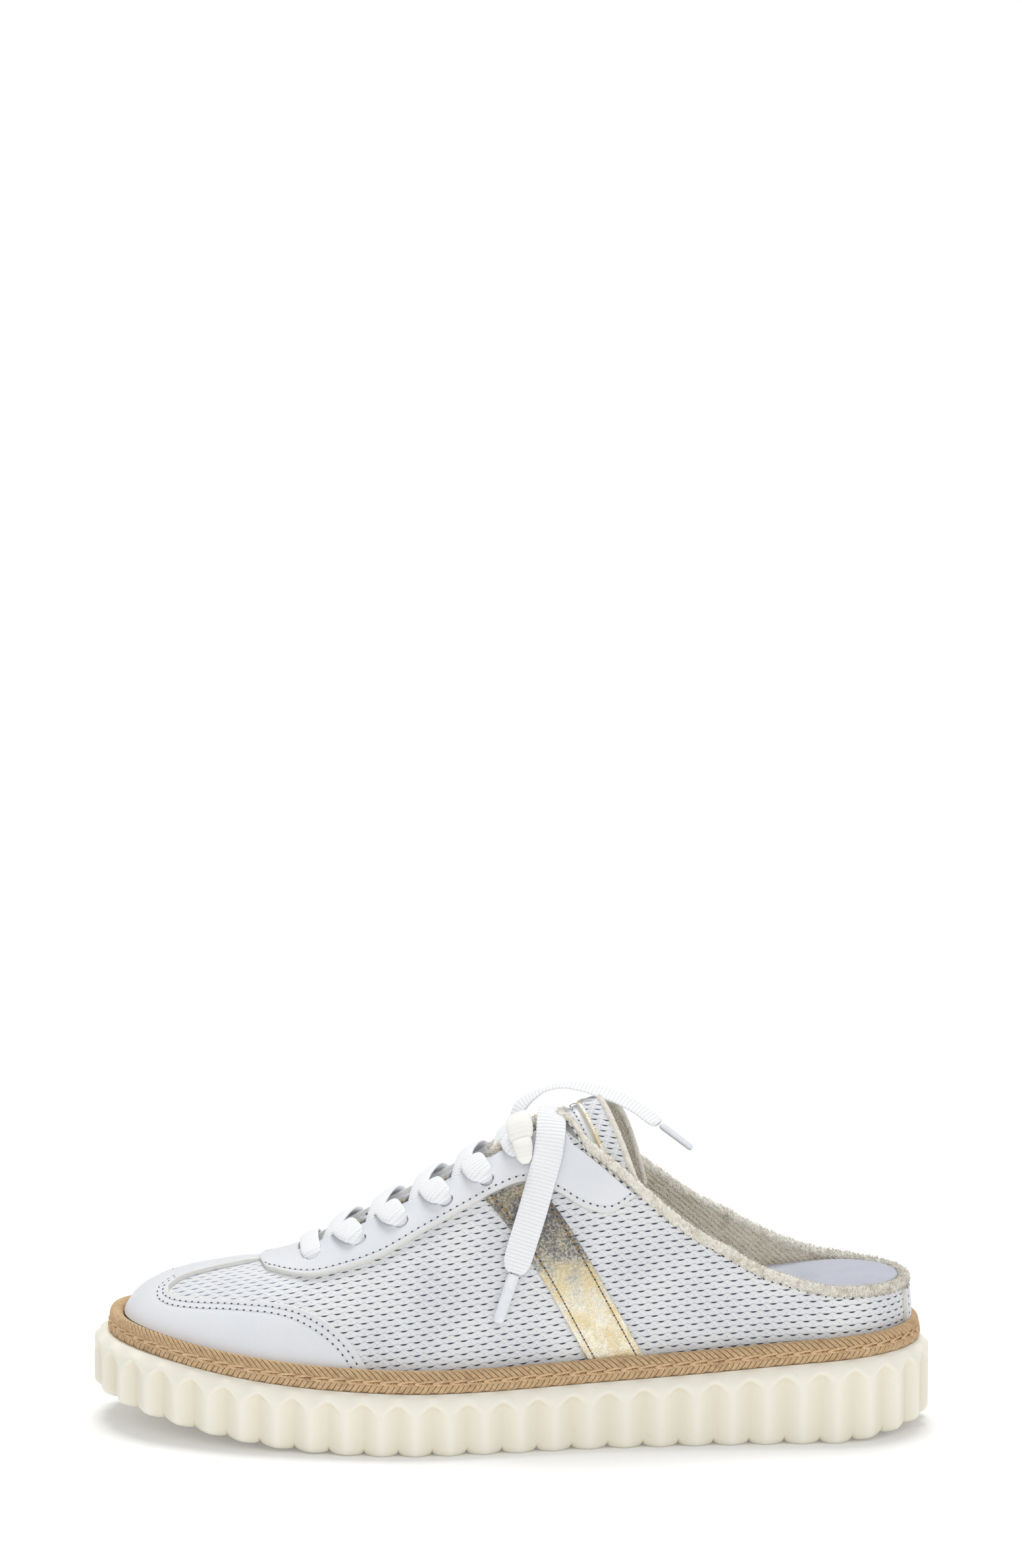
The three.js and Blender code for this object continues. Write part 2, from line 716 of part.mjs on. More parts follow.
// Upper: one hollow wall, open underneath, at the collar and down the throat
function makeUpper() {
  const sheet = new Body();
  for (const side of [-1, 1]) {
    patch(sheet, side, SHEET_STEPS, SHEET_ROWS, 0, -UPPER_WALL, (s, v) => wallTop(side, s) * v);
    const vamp = SHEET_STEPS.slice(0, SHEET_COLUMNS.vamp + 1);
    patch(sheet, side, vamp, VAMP_ROWS, 0, -UPPER_WALL, (s, v) => mix(wallTop(side, s), 1, v));
  }
  return toGeometry(toSolid(thicken(sheet)).subtract(holeCutters()));
}

// Height over the form of an overlay's back and face
const OVERLAY_BACK = OVERLAY_GAP;
const OVERLAY_FACE = OVERLAY_GAP + OVERLAY_THICKNESS;
const aboveRope = (side, s) => upAtHeight(side, s, ROPE_HEIGHT + FIT_GAP);

// Toe cap: wraps the toe above the rope, with its wings ending at the ball
function makeToeCap() {
  const sheet = new Body();
  const steps = columnsBetween(0, stepAt(TOE_CAP_EDGE[TOE_CAP_EDGE.length - 1].at), 1);
  for (const side of [-1, 1]) {
    patch(sheet, side, steps, 6, OVERLAY_FACE, OVERLAY_BACK, (s, v) => {
      const low = aboveRope(side, s);
      return mix(low, Math.max(along(TOE_CAP_EDGE, 'up', station(s)), low), v);
    });
  }
  return thicken(sheet);
}

// Eyestay: a U round the throat that carries the eyelet holes and ends at the collar
function makeEyestay() {
  const sheet = new Body();
  const first = stepAt(EYESTAY_EDGE[0].at);
  const front = stepAt(THROAT_FRONT);
  const end = stepAt(EYESTAY_EDGE[EYESTAY_EDGE.length - 1].at);
  const nose = columnsBetween(first, front, 2);
  const wings = columnsBetween(front, end, 2);
  for (const side of [-1, 1]) {
    const edge = (s) => {
      const up = along(EYESTAY_EDGE, 'up', station(s));
      return s > front ? Math.min(up, wallTop(side, s)) : up;
    };
    const share = (wallTop(side, front) - edge(front)) / (1 - edge(front));
    const top = (s) => (s <= front ? edge(s) + (1 - edge(s)) * share : wallTop(side, s));
    const steps = [...nose, ...wings.slice(1)];
    patch(sheet, side, steps, 3, OVERLAY_FACE, OVERLAY_BACK, (s, v) => mix(edge(s), top(s), v));
    patch(sheet, side, nose, 2, OVERLAY_FACE, OVERLAY_BACK, (s, v) => mix(top(s), 1, v));
  }
  return toGeometry(toSolid(thicken(sheet)).subtract(holeCutters()));
}

// Side band: a plain slanted strip from the welt up to the eyestay
function makeBand(side) {
  const sheet = new Body();
  const slant = SOLE_LENGTH * (BAND.foot - BAND.head);
  const climb = INSTEP_RISE * 0.55;
  const half = (BAND_WIDTH / 2) * Math.hypot(slant, climb) / climb / SOLE_LENGTH;
  const columns = 4;
  const rows = 10;
  const place = (over) => (i, j) => {
    const away = half * ((2 * (side < 0 ? i : columns - i)) / columns - 1);
    const head = BAND.head + away;
    const lap = (3 * FIT_GAP) / runLength(side, stepAt(head), along(EYESTAY_EDGE, 'up', head));
    const high = along(EYESTAY_EDGE, 'up', head) - lap;
    const low = aboveRope(side, stepAt(BAND.foot + away));
    const s = stepAt(mix(BAND.foot, BAND.head, j / rows) + away);
    return skin(side, s, mix(low, high, j / rows), over);
  };
  sheet.grid(columns, rows, place(OVERLAY_FACE), place(OVERLAY_BACK));
  return thicken(sheet);
}

// Backstay: the strip up the middle of the heel
function makeBackstay() {
  const sheet = new Body();
  let start = 1;
  while (form(-1, start, 0).distanceTo(form(-1, 1, 0)) < BACKSTAY_HALF) start -= 0.001;
  const steps = divide([start, 1], [3]);
  for (const side of [-1, 1]) {
    patch(sheet, side, steps, 2, OVERLAY_FACE, OVERLAY_BACK, (s, v) => (
      mix(aboveRope(side, s), wallTop(side, s), v)));
  }
  return thicken(sheet);
}

// Collar binding: a soft bead along the wall's top edge, from one eyestay round to the other
function makeBinding() {
  const half = (UPPER_WALL + BINDING_PROUD) / 2;
  const middle = BINDING_PROUD - half;
  const corners = 6;
  const ring = (side, s) => {
    const line = topLine(side, s);
    const rise = dropBelow(side, s, BINDING_HEIGHT / 2);
    const reach = 1 / Math.cos(Math.PI / corners);
    return Array.from({ length: corners }, (_, k) => {
      const turn = (2 * Math.PI * (k + 0.5)) / corners;
      const q = line - rise + rise * Math.cos(turn) * reach;
      return skin(side, s, q, middle + half * Math.sin(turn));
    });
  };
  const steps = columnsBetween(stepAt(BINDING_START) + 0.004, 1, 1);
  const rings = steps.map((s) => ring(-1, s));
  for (let k = steps.length - 2; k >= 0; k -= 1) rings.push(ring(1, steps[k]));
  return loft(rings);
}

// Height of the tongue's face over the form: the laces press its middle down
function tongueFace(c, q) {
  const t = Math.min(Math.max((q - 0.8) / 0.2, 0), 1);
  return -(UPPER_WALL + TONGUE_GAP) - along(TONGUE_PRESS, 'press', c) * t * t * (3 - 2 * t);
}

// Tongue: a padded panel under the throat that stands up as an arch behind the laces
function makeTongue() {
  const sheet = new Body();
  const columns = 12;
  const rows = 4;
  for (const side of [-1, 1]) {
    const place = (depth) => (i, j) => {
      const u = side < 0 ? i / columns : 1 - i / columns;
      const away = (1 - j / rows) ** TONGUE_END.power;
      const c = mix(TONGUE_SIDE[0].at, mix(TONGUE_END.crest, TONGUE_END.side, away), u);
      const q = mix(along(TONGUE_SIDE, 'up', c), 1, j / rows);
      return skin(side, stepAt(c), q, tongueFace(c, q) - depth);
    };
    sheet.grid(columns, rows, place(0), place(TONGUE_THICKNESS));
  }
  return thicken(sheet);
}

// A flat lace through places on the form, its broad side lying on the form
function ribbon(route, width, thickness, steps, sides = 4) {
  const centres = route.map(({ side, at, up, over }) => skin(side, stepAt(at), up, over));
  const normals = route.map(({ side, at, up }) => facing(side, stepAt(at), up));
  const path = new THREE.CatmullRomCurve3(centres, false, 'centripetal');
  const lean = new THREE.CatmullRomCurve3(normals, false, 'centripetal');
  const rings = [];
  for (let i = 0; i <= steps; i += 1) {
    const t = i / steps;
    const centre = path.getPoint(t);
    const tangent = path.getTangent(t);
    const across = lean.getPoint(t).cross(tangent).normalize();
    const up = tangent.clone().cross(across);
    rings.push(Array.from({ length: sides }, (_, k) => {
      const turn = (2 * Math.PI * (k + 0.5)) / sides;
      const reach = 1 / Math.cos(Math.PI / sides);
      return centre.clone()
        .addScaledVector(across, (width / 2) * reach * Math.cos(turn))
        .addScaledVector(up, (thickness / 2) * reach * Math.sin(turn));
    }));
  }
  return loft(rings);
}

// Lace over the throat between two rows of holes: out from under one edge, down into the other
const LACE_SLACK = 0.35;
const LACE_OVER = OVERLAY_FACE + FIT_GAP + LACE_THICKNESS / 2;
const LACE_UNDER = LACE_THICKNESS / 2 + FIT_GAP - (UPPER_WALL + TONGUE_GAP);
function laceRun(from, k, next) {
  const start = HOLES[k];
  const end = HOLES[next];
  const middle = mix(start.at, end.at, 0.5);
  const edgeUp = (side, at) => wallTop(side, stepAt(at));
  return ribbon([
    { side: from, at: start.at + 0.012, up: edgeUp(from, start.at) + 0.05, over: LACE_UNDER + 0.3 },
    { side: from, at: middle, up: 1, over: 1 - along(TONGUE_PRESS, 'press', middle) },
    { side: -from, at: mix(start.at, end.at, 0.86), up: edgeUp(-from, end.at) + 0.02, over: LACE_OVER + LACE_SLACK },
    { side: -from, at: end.at, up: end.up + 0.006, over: LACE_OVER },
  ], LACE_WIDTH, LACE_THICKNESS, 8);
}

function makeCrossing(k) {
  const one = toSolid(laceRun(-1, k, k + 1));
  return toGeometry(one.add(toSolid(laceRun(1, k, k + 1))));
}

// First bar: straight over the throat, down into the first hole on both sides
function makeFirstBar() {
  const { at, up } = HOLES[0];
  const edge = wallTop(-1, stepAt(at));
  return ribbon([
    { side: -1, at, up: up + 0.006, over: LACE_OVER },
    { side: -1, at, up: edge, over: LACE_OVER },
    { side: -1, at, up: 1, over: LACE_OVER - 0.4 },
    { side: 1, at, up: edge, over: LACE_OVER },
    { side: 1, at, up: up + 0.006, over: LACE_OVER },
  ], LACE_WIDTH, LACE_THICKNESS, 10);
}

// Knot: a tight flat lump over the last crossing
function makeKnot() {
  return ribbon(KNOT_ROUTE, KNOT_WIDTH, KNOT_THICKNESS, 8, 8);
}

// Colours and finishes
const finish = (color, roughness, metalness = 0) => (
  new THREE.MeshStandardMaterial({ color, roughness, metalness })
);
const FINISH = {
  rubber: () => finish('#e8e4d4', 0.55),
  rope: () => finish('#be9b73', 0.9),
  fabric: () => finish('#dee1e8', 0.75),
  leather: () => finish('#e1e4ea', 0.45),
  gold: () => finish('#d4be82', 0.35, 0.8),
  terry: () => finish('#e1dccd', 0.95),
  insole: () => finish('#c8cbd7', 0.6),
  lace: () => finish('#fafbfc', 0.85),
  aglet: () => finish('#e1e8f5', 0.3),
};

// The shoe, with its origin at the middle of its footprint on the ground
const shoe = new THREE.Group();
const outsole = makeOutsole();
outsole.computeBoundingBox();
const footprint = outsole.boundingBox.getCenter(new THREE.Vector3());
shoe.position.set(-footprint.x, -footprint.y, 0);

function add(name, geometry, material) {
  const mesh = new THREE.Mesh(geometry, material);
  mesh.name = name;
  geometry.computeVertexNormals();
  shoe.add(mesh);
}

add('outsole', outsole, FINISH.rubber());
add('rope_welt', makeRopeWelt(), FINISH.rope());
add('insole', makeInsole(), FINISH.insole());
add('upper', makeUpper(), FINISH.fabric());
add('toe_cap', makeToeCap(), FINISH.leather());
add('eyestay', makeEyestay(), FINISH.leather());
add('band_outer', makeBand(-1), FINISH.gold());
add('band_inner', makeBand(1), FINISH.gold());
add('backstay', makeBackstay(), FINISH.leather());
add('collar_binding', makeBinding(), FINISH.terry());
add('tongue', makeTongue(), FINISH.leather());
add('lace_bar', makeFirstBar(), FINISH.lace());
for (let k = 0; k < HOLES.length - 1; k += 1) {
  add(`lace_crossing_${k + 1}`, makeCrossing(k), FINISH.lace());
}
add('lace_knot', makeKnot(), FINISH.lace());
add('lace_end_outer', ribbon(OUTER_END, LACE_END_WIDTH, LACE_THICKNESS, 20, 6), FINISH.lace());
add('lace_end_inner', ribbon(INNER_END, LACE_END_WIDTH, LACE_THICKNESS, 16, 6), FINISH.lace());
add('aglet_outer', ribbon(OUTER_AGLET, AGLET_WIDTH, AGLET_THICKNESS, 4, 8), FINISH.aglet());
add('aglet_inner', ribbon(INNER_AGLET, AGLET_WIDTH, AGLET_THICKNESS, 4, 8), FINISH.aglet());

const model = new THREE.Group();
model.add(shoe);
export default model;
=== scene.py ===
import math

import bpy
import numpy as np
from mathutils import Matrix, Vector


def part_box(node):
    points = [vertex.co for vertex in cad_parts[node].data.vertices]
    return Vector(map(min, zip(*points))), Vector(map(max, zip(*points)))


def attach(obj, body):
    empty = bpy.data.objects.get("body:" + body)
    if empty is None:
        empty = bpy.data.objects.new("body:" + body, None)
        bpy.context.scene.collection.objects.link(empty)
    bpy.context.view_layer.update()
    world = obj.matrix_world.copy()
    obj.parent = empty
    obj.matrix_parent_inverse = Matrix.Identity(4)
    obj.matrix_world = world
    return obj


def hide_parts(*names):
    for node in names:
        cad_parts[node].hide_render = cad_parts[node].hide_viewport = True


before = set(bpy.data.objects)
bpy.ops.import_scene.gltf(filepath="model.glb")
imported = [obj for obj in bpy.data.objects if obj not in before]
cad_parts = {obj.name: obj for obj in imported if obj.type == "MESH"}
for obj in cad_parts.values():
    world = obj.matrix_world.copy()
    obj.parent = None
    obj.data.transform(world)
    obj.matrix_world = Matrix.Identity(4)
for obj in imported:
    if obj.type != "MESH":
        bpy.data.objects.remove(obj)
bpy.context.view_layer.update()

# Camera, light and floor
# A long lens 2.3 m from the outer side, 13 degrees above the shoe. It is aimed at the middle of
# the picture, which lies over the shoe. A wide pale floor lies under a white sky and two soft suns.
VIEW_DISTANCE = 2.3
VIEW_ELEVATION = math.radians(13.0)
VIEW_LIFT = math.radians(4.03)
VIEW_LENS = 158.9
SHOE_MIDDLE_HEIGHT = 0.05
FLOOR_HALF = 60.0
FLOOR_COLOUR = (0.9, 0.9, 0.9, 1)
FLOOR_GLOW = 0.1
SKY_STRENGTH = 0.48
SUNS = [
    {"strength": 1.85, "spread": 30, "tilt": -21, "turn": 5},
    {"strength": 0.74, "spread": 60, "tilt": 64, "turn": 10},
]

backstay_low, backstay_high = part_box("backstay")
lens = bpy.data.cameras.new("camera")
lens.lens = VIEW_LENS
lens.sensor_width = 36.0
lens.sensor_fit = "AUTO"
lens.clip_end = 300.0
camera = bpy.data.objects.new("camera", lens)
camera.location = (
    0,
    (backstay_low.y + backstay_high.y) / 2 - VIEW_DISTANCE * math.cos(VIEW_ELEVATION),
    SHOE_MIDDLE_HEIGHT + VIEW_DISTANCE * math.sin(VIEW_ELEVATION),
)
camera.rotation_euler = (math.pi / 2 - VIEW_ELEVATION + VIEW_LIFT, 0, 0)
bpy.context.scene.collection.objects.link(camera)
bpy.context.scene.camera = camera

world = bpy.data.worlds.new("sky")
world.use_nodes = True
sky = world.node_tree.nodes["Background"]
sky.inputs["Color"].default_value = (1, 1, 1, 1)
sky.inputs["Strength"].default_value = SKY_STRENGTH
bpy.context.scene.world = world
bpy.context.scene.view_settings.view_transform = "Standard"
for number, light in enumerate(SUNS):
    sun = bpy.data.lights.new(f"sun_{number}", "SUN")
    sun.energy = light["strength"]
    sun.angle = math.radians(light["spread"])
    holder = bpy.data.objects.new(f"sun_{number}", sun)
    holder.rotation_euler = (math.radians(light["tilt"]), 0, math.radians(light["turn"]))
    bpy.context.scene.collection.objects.link(holder)

floor_mesh = bpy.data.meshes.new("floor")
floor_corners = [(x * FLOOR_HALF, y * FLOOR_HALF, 0) for x, y in ((-1, -1), (1, -1), (1, 1), (-1, 1))]
floor_mesh.from_pydata(floor_corners, [], [(0, 1, 2, 3)])
floor = bpy.data.objects.new("floor", floor_mesh)
bpy.context.scene.collection.objects.link(floor)
floor_finish = bpy.data.materials.new("floor_paper")
floor_finish.use_nodes = True
floor_shader = floor_finish.node_tree.nodes["Principled BSDF"]
floor_shader.inputs["Base Color"].default_value = FLOOR_COLOUR
floor_shader.inputs["Roughness"].default_value = 0.9
floor_shader.inputs["Emission Color"].default_value = (1, 1, 1, 1)
floor_shader.inputs["Emission Strength"].default_value = FLOOR_GLOW
floor_mesh.materials.append(floor_finish)

# The last
# The form that the whole shoe is pulled over. Sizes are in millimetres, and a place on it is
# (s, q): s runs round the shoe, 0 at the toe's tip, 1 and -1 at the heel's back, positive on the
# outer side, and q runs up each section from the feather edge at 0 to the ridge at 1.
MM = 0.001
SOLE_LENGTH = 278.0
BALL_WIDTH = 100.0
SOLE_HEIGHT = 28.8
INSTEP_RISE = 94.0
FIT_GAP = 0.3
UPPER_WALL = 1.8
OVERLAY_GAP = 0.4
OVERLAY_THICKNESS = 1.2
SIDE_INSET = 8.2
TOE_INSET = 10.6
HEEL_INSET = 7.4
ROPE_HEIGHT = 7.5
ROPE_INSET = 4.0
TOE_RUN, TOE_POWER = 0.22, 2.2
HEEL_RUN, HEEL_POWER = 0.13, 2.0
TOE_LEAN, TOE_FAN = 0.094, 0.30
HEEL_LEAN, HEEL_FAN = 0.13, 0.35
TOE_MEETING = 0.03
PLAN = {
    "at": [0, 0.10, 0.20, 0.30, 0.38, 0.48, 0.60, 0.72, 0.84, 1],
    "half": [0.440, 0.452, 0.470, 0.492, 0.490, 0.444, 0.388, 0.366, 0.360, 0.360],
    "swing": [0.090, 0.060, 0.012, -0.024, -0.045, -0.052, -0.041, -0.024, -0.004, 0],
}
SIDE = {
    "at": [0, 0.07, 0.155, 0.24, 0.325, 0.44, 0.55, 0.65, 0.74, 0.82, 0.89, 0.94, 1],
    "top": [1.024, 0.951, 0.844, 0.760, 0.722, 0.705, 0.736, 0.781, 0.837, 0.899, 0.951, 0.979, 1],
    "under": [0.380, 0.255, 0.128, 0.035, 0, 0, 0, 0, 0, 0, 0, 0.052, 0.140],
}
RIDGE = {
    "at": [0.094, 0.12, 0.16, 0.20, 0.25, 0.30, 0.35, 0.40, 0.45, 0.50, 0.56, 0.64, 0.74, 1],
    "rise": [0.215, 0.249, 0.289, 0.327, 0.386, 0.474, 0.564, 0.655, 0.746, 0.834, 0.931, 0.985,
             1, 0.950],
    "shoulder": [0.40, 0.40, 0.40, 0.42, 0.44, 0.46, 0.46, 0.46, 0.46, 0.46, 0.46, 0.46, 0.46,
                 0.46],
    "steep": [0.50, 0.50, 0.50, 0.50, 0.50, 0.48, 0.46, 0.44, 0.42, 0.40, 0.40, 0.40, 0.40, 0.40],
}


def along(table, column, at):
    """Value of a table's column: a cubic through its rows, level with the mean of their slopes."""
    x, y = np.array(table["at"], float), np.array(table[column], float)
    at = np.clip(at, x[0], x[-1])
    run = np.diff(x)
    rise = np.diff(y) / run
    slope = np.empty_like(y)
    slope[1:-1] = (rise[:-1] * run[1:] + rise[1:] * run[:-1]) / (run[1:] + run[:-1])
    slope[0], slope[-1] = rise[0], rise[-1]
    i = np.clip(np.searchsorted(x, at, side="right") - 1, 0, len(x) - 2)
    t = (at - x[i]) / run[i]
    return (
        y[i] * (1 + 2 * t) * (1 - t) ** 2
        + slope[i] * run[i] * t * (1 - t) ** 2
        + y[i + 1] * t * t * (3 - 2 * t)
        + slope[i + 1] * run[i] * t * t * (t - 1)
    )


def station(s):
    """Share of the length at s: half of one minus the cosine of a half turn times s."""
    return (1 - np.cos(np.pi * np.abs(s))) / 2


def step_at(side, share):
    """The s at a share of the length, on side -1 (outer) or 1 (inner)."""
    return -side * np.arccos(1 - 2 * np.clip(share, 0, 1)) / np.pi


def mix(a, b, t):
    """a at t 0 and b at t 1, on a straight line between them."""
    return a + (b - a) * t


def unit(vectors):
    """Vectors divided by their lengths."""
    return vectors / np.linalg.norm(vectors, axis=-1, keepdims=True)


def smooth(a, b, x):
    """0 below a, 1 above b, and three t squared minus two t cubed between them."""
    t = np.clip((x - a) / (b - a), 0, 1)
    return t * t * (3 - 2 * t)


def outline(s):
    """The sole's edge in plan: half width times the roundings of toe and heel, off the swing."""
    s = (np.asarray(s, float) + 1) % 2 - 1
    c = station(s)
    toe = np.clip(c / TOE_RUN, 0, 1)
    heel = np.clip((1 - c) / HEEL_RUN, 0, 1)
    ends = (1 - (1 - toe) ** TOE_POWER) ** (1 / TOE_POWER)
    ends = ends * (1 - (1 - heel) ** HEEL_POWER) ** (1 / HEEL_POWER)
    side = np.where(s < 0, 1.0, -1.0)
    y = BALL_WIDTH * (along(PLAN, "swing", c) + side * along(PLAN, "half", c) * ends)
    return np.stack([SOLE_LENGTH * (c - 0.5), y], -1)


def inset_outline(s, inset):
    """The sole's edge moved inwards by inset, square to itself."""
    step = 1e-4
    run = unit(outline(s + step) - outline(s - step))
    inward = np.stack([-run[..., 1], run[..., 0]], -1)
    return outline(s) + inward * np.asarray(inset)[..., None]


def sole_top(x):
    """Height of the sole's ledge at x: the table's share of the sole's height."""
    return SOLE_HEIGHT * along(SIDE, "top", x / SOLE_LENGTH + 0.5)


def sole_under(x):
    """Height of the tread over the floor at x, never below it: toe spring and heel."""
    return SOLE_HEIGHT * np.maximum(along(SIDE, "under", x / SOLE_LENGTH + 0.5), 0)


def upper_inset(c):
    """How far the upper's foot stands in from the sole's edge, growing by squares at both ends."""
    toe = np.maximum(1 - c / 0.15, 0) ** 2
    heel = np.maximum(1 - (1 - c) / 0.25, 0) ** 2
    return SIDE_INSET + (TOE_INSET - SIDE_INSET) * toe + (HEEL_INSET - SIDE_INSET) * heel


def ridge_height(c):
    """Height of the last's ridge: the sole's top and the table's share of the instep's rise."""
    return sole_top(SOLE_LENGTH * (c - 0.5)) + INSTEP_RISE * along(RIDGE, "rise", c)


def form(s, q):
    """Point of the last: a cubic curve from the feather edge up to the ridge of its section."""
    s, q = np.broadcast_arrays(np.asarray(s, float), np.asarray(q, float))
    s = np.where(q > 1, -s, s)
    q = np.where(q > 1, 2 - q, q)
    c = station((s + 1) % 2 - 1)
    foot = inset_outline(s, upper_inset(c))
    low = sole_top(foot[..., 0]) + FIT_GAP
    top = c + TOE_LEAN * np.maximum(1 - c / TOE_FAN, 0) ** 2
    top = top - HEEL_LEAN * np.maximum(1 - (1 - c) / HEEL_FAN, 0) ** 2
    x = SOLE_LENGTH * (top - 0.5)
    y = BALL_WIDTH * along(PLAN, "swing", top)
    z = ridge_height(top)
    step = 1e-3
    slope = (ridge_height(top + step) - z) / (step * SOLE_LENGTH)
    shoulder = along(RIDGE, "shoulder", top)
    lift = 1 - slope * (x - foot[..., 0]) * (1 - shoulder) / (z - low)
    p = 1 - q
    inward = 3 * p * q * q * shoulder + q**3
    upward = 3 * p * p * q * along(RIDGE, "steep", top) + 3 * p * q * q * lift + q**3
    return np.stack(
        [mix(foot[..., 0], x, inward), mix(foot[..., 1], y, inward), mix(low, z, upward)], -1
    )


def facing(s, q):
    """Outward direction: the step round the shoe crossed with the step up the section. Where the
    sections meet on the toe's ridge it is the mean of the directions on the two sides."""
    step = 2e-3
    s, q = np.broadcast_arrays(np.asarray(s, float), np.asarray(q, float))
    low = np.maximum(q - step, 0)
    least = TOE_MEETING * smooth(0.85, 1.0, q)
    out = 0
    for side in (-1, 1):
        near = np.where(np.abs(s) < least, side * least, s)
        out = out + np.cross(form(near + step, q) - form(near - step, q),
                             form(near, q + step) - form(near, low))
    return unit(out)


def skin(s, q, over):
    """A point at a height over the last, square to it; 0 is the outer face of the upper."""
    return form(s, q) + facing(s, q) * np.asarray(over, float)[..., None]


def run_length(s, q):
    """Millimetres up the section for a whole unit of q."""
    step = 0.01
    return np.linalg.norm(form(s, q + step) - form(s, q - step), axis=-1) / (2 * step)


def up_at_height(s, height):
    """The q at which the last stands at a height over the sole's top, by halving."""
    low, high = np.zeros(np.shape(s)), np.full(np.shape(s), 0.6)
    for _ in range(24):
        middle = (low + high) / 2
        point = form(s, middle)
        under = point[..., 2] - sole_top(point[..., 0]) < height
        low, high = np.where(under, middle, low), np.where(under, high, middle)
    return (low + high) / 2


def even_steps(count):
    """The s from 0 to 1 that divide the sole's edge evenly, and the mean length of one side."""
    s = np.linspace(0, 1, 1201)
    pace = np.linalg.norm(np.diff(outline(s), axis=0), axis=1)
    pace = (pace + np.linalg.norm(np.diff(outline(-s), axis=0), axis=1)) / 2
    length = np.concatenate([[0], np.cumsum(pace)])
    return np.interp(np.linspace(0, length[-1], count + 1), length, s), length[-1]


BACKSTAY_FACE = OVERLAY_GAP + OVERLAY_THICKNESS
heel_line = skin(1.0, np.linspace(0.05, 0.2, 40), np.full(40, BACKSTAY_FACE))
heel_low = up_at_height(np.array([1.0]), ROPE_HEIGHT + FIT_GAP)
heel_back = skin(np.array([1.0]), heel_low, np.array([BACKSTAY_FACE]))[0, 0]
ORIGIN = np.array([
    backstay_high.x - max(heel_back, heel_line[:, 0].max()) * MM,
    (backstay_low.y + backstay_high.y) / 2,
    0.0,
])


def grid_quads(columns, rows, wrap_columns=False, wrap_rows=False):
    """Corner numbers of the quads of a grid of points, numbered along its rows first."""
    i = np.arange(columns if wrap_columns else columns - 1)[:, None]
    j = np.arange(rows if wrap_rows else rows - 1)[None, :]
    near, far = i * rows, (i + 1) % columns * rows
    return np.stack([near + j, far + j, far + (j + 1) % rows, near + (j + 1) % rows], -1).reshape(-1, 4)


WELD = 0.002


def merged(points):
    """For each point the number of the first one that lies in the same small cube."""
    _, first, same = np.unique(np.round(points / WELD).astype(np.int64), axis=0,
                               return_index=True, return_inverse=True)
    return first[same.reshape(-1)]


def make_piece(name, points, quads, finishes, uv=None, kinds=None, marks=None, crease=40):
    """A piece from points in millimetres and quads of their numbers. Points that fall together
    become one, a quad that loses a corner a triangle, and a piece turned inside out is turned."""
    corners = merged(points)[quads]
    p = points[corners]
    volume = np.einsum("ij,ij->", p[:, 0], np.cross(p[:, 1], p[:, 2]) + np.cross(p[:, 2], p[:, 3]))
    if volume < 0:
        corners = corners[:, ::-1]
        uv = None if uv is None else uv[:, ::-1]
    keep = corners != np.roll(corners, -1, axis=1)
    whole = keep.sum(1) >= 3
    corners, keep = corners[whole], keep[whole]
    counts = keep.sum(1)
    used, loops = np.unique(corners[keep], return_inverse=True)
    mesh = bpy.data.meshes.new(name)
    mesh.vertices.add(len(used))
    mesh.vertices.foreach_set("co", (points[used] * MM + ORIGIN).astype(np.float32).ravel())
    mesh.loops.add(len(loops))
    mesh.loops.foreach_set("vertex_index", loops.reshape(-1).astype(np.int32))
    mesh.polygons.add(len(counts))
    mesh.polygons.foreach_set("loop_start", (np.cumsum(counts) - counts).astype(np.int32))
    if kinds is not None:
        mesh.polygons.foreach_set("material_index", kinds[whole].astype(np.int32))
    if uv is not None:
        layer = mesh.uv_layers.new(name="UVMap")
        layer.data.foreach_set("uv", uv[whole][keep].astype(np.float32).ravel())
    for title, values in (marks or {}).items():
        mark = mesh.attributes.new(title, "FLOAT", "POINT")
        mark.data.foreach_set("value", values[used].astype(np.float32))
    mesh.update(calc_edges=True)
    mesh.shade_smooth()
    mesh.set_sharp_from_angle(angle=math.radians(crease))
    for finish in finishes:
        mesh.materials.append(finish)
    piece = bpy.data.objects.new(name, mesh)
    bpy.context.scene.collection.objects.link(piece)
    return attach(piece, "root")


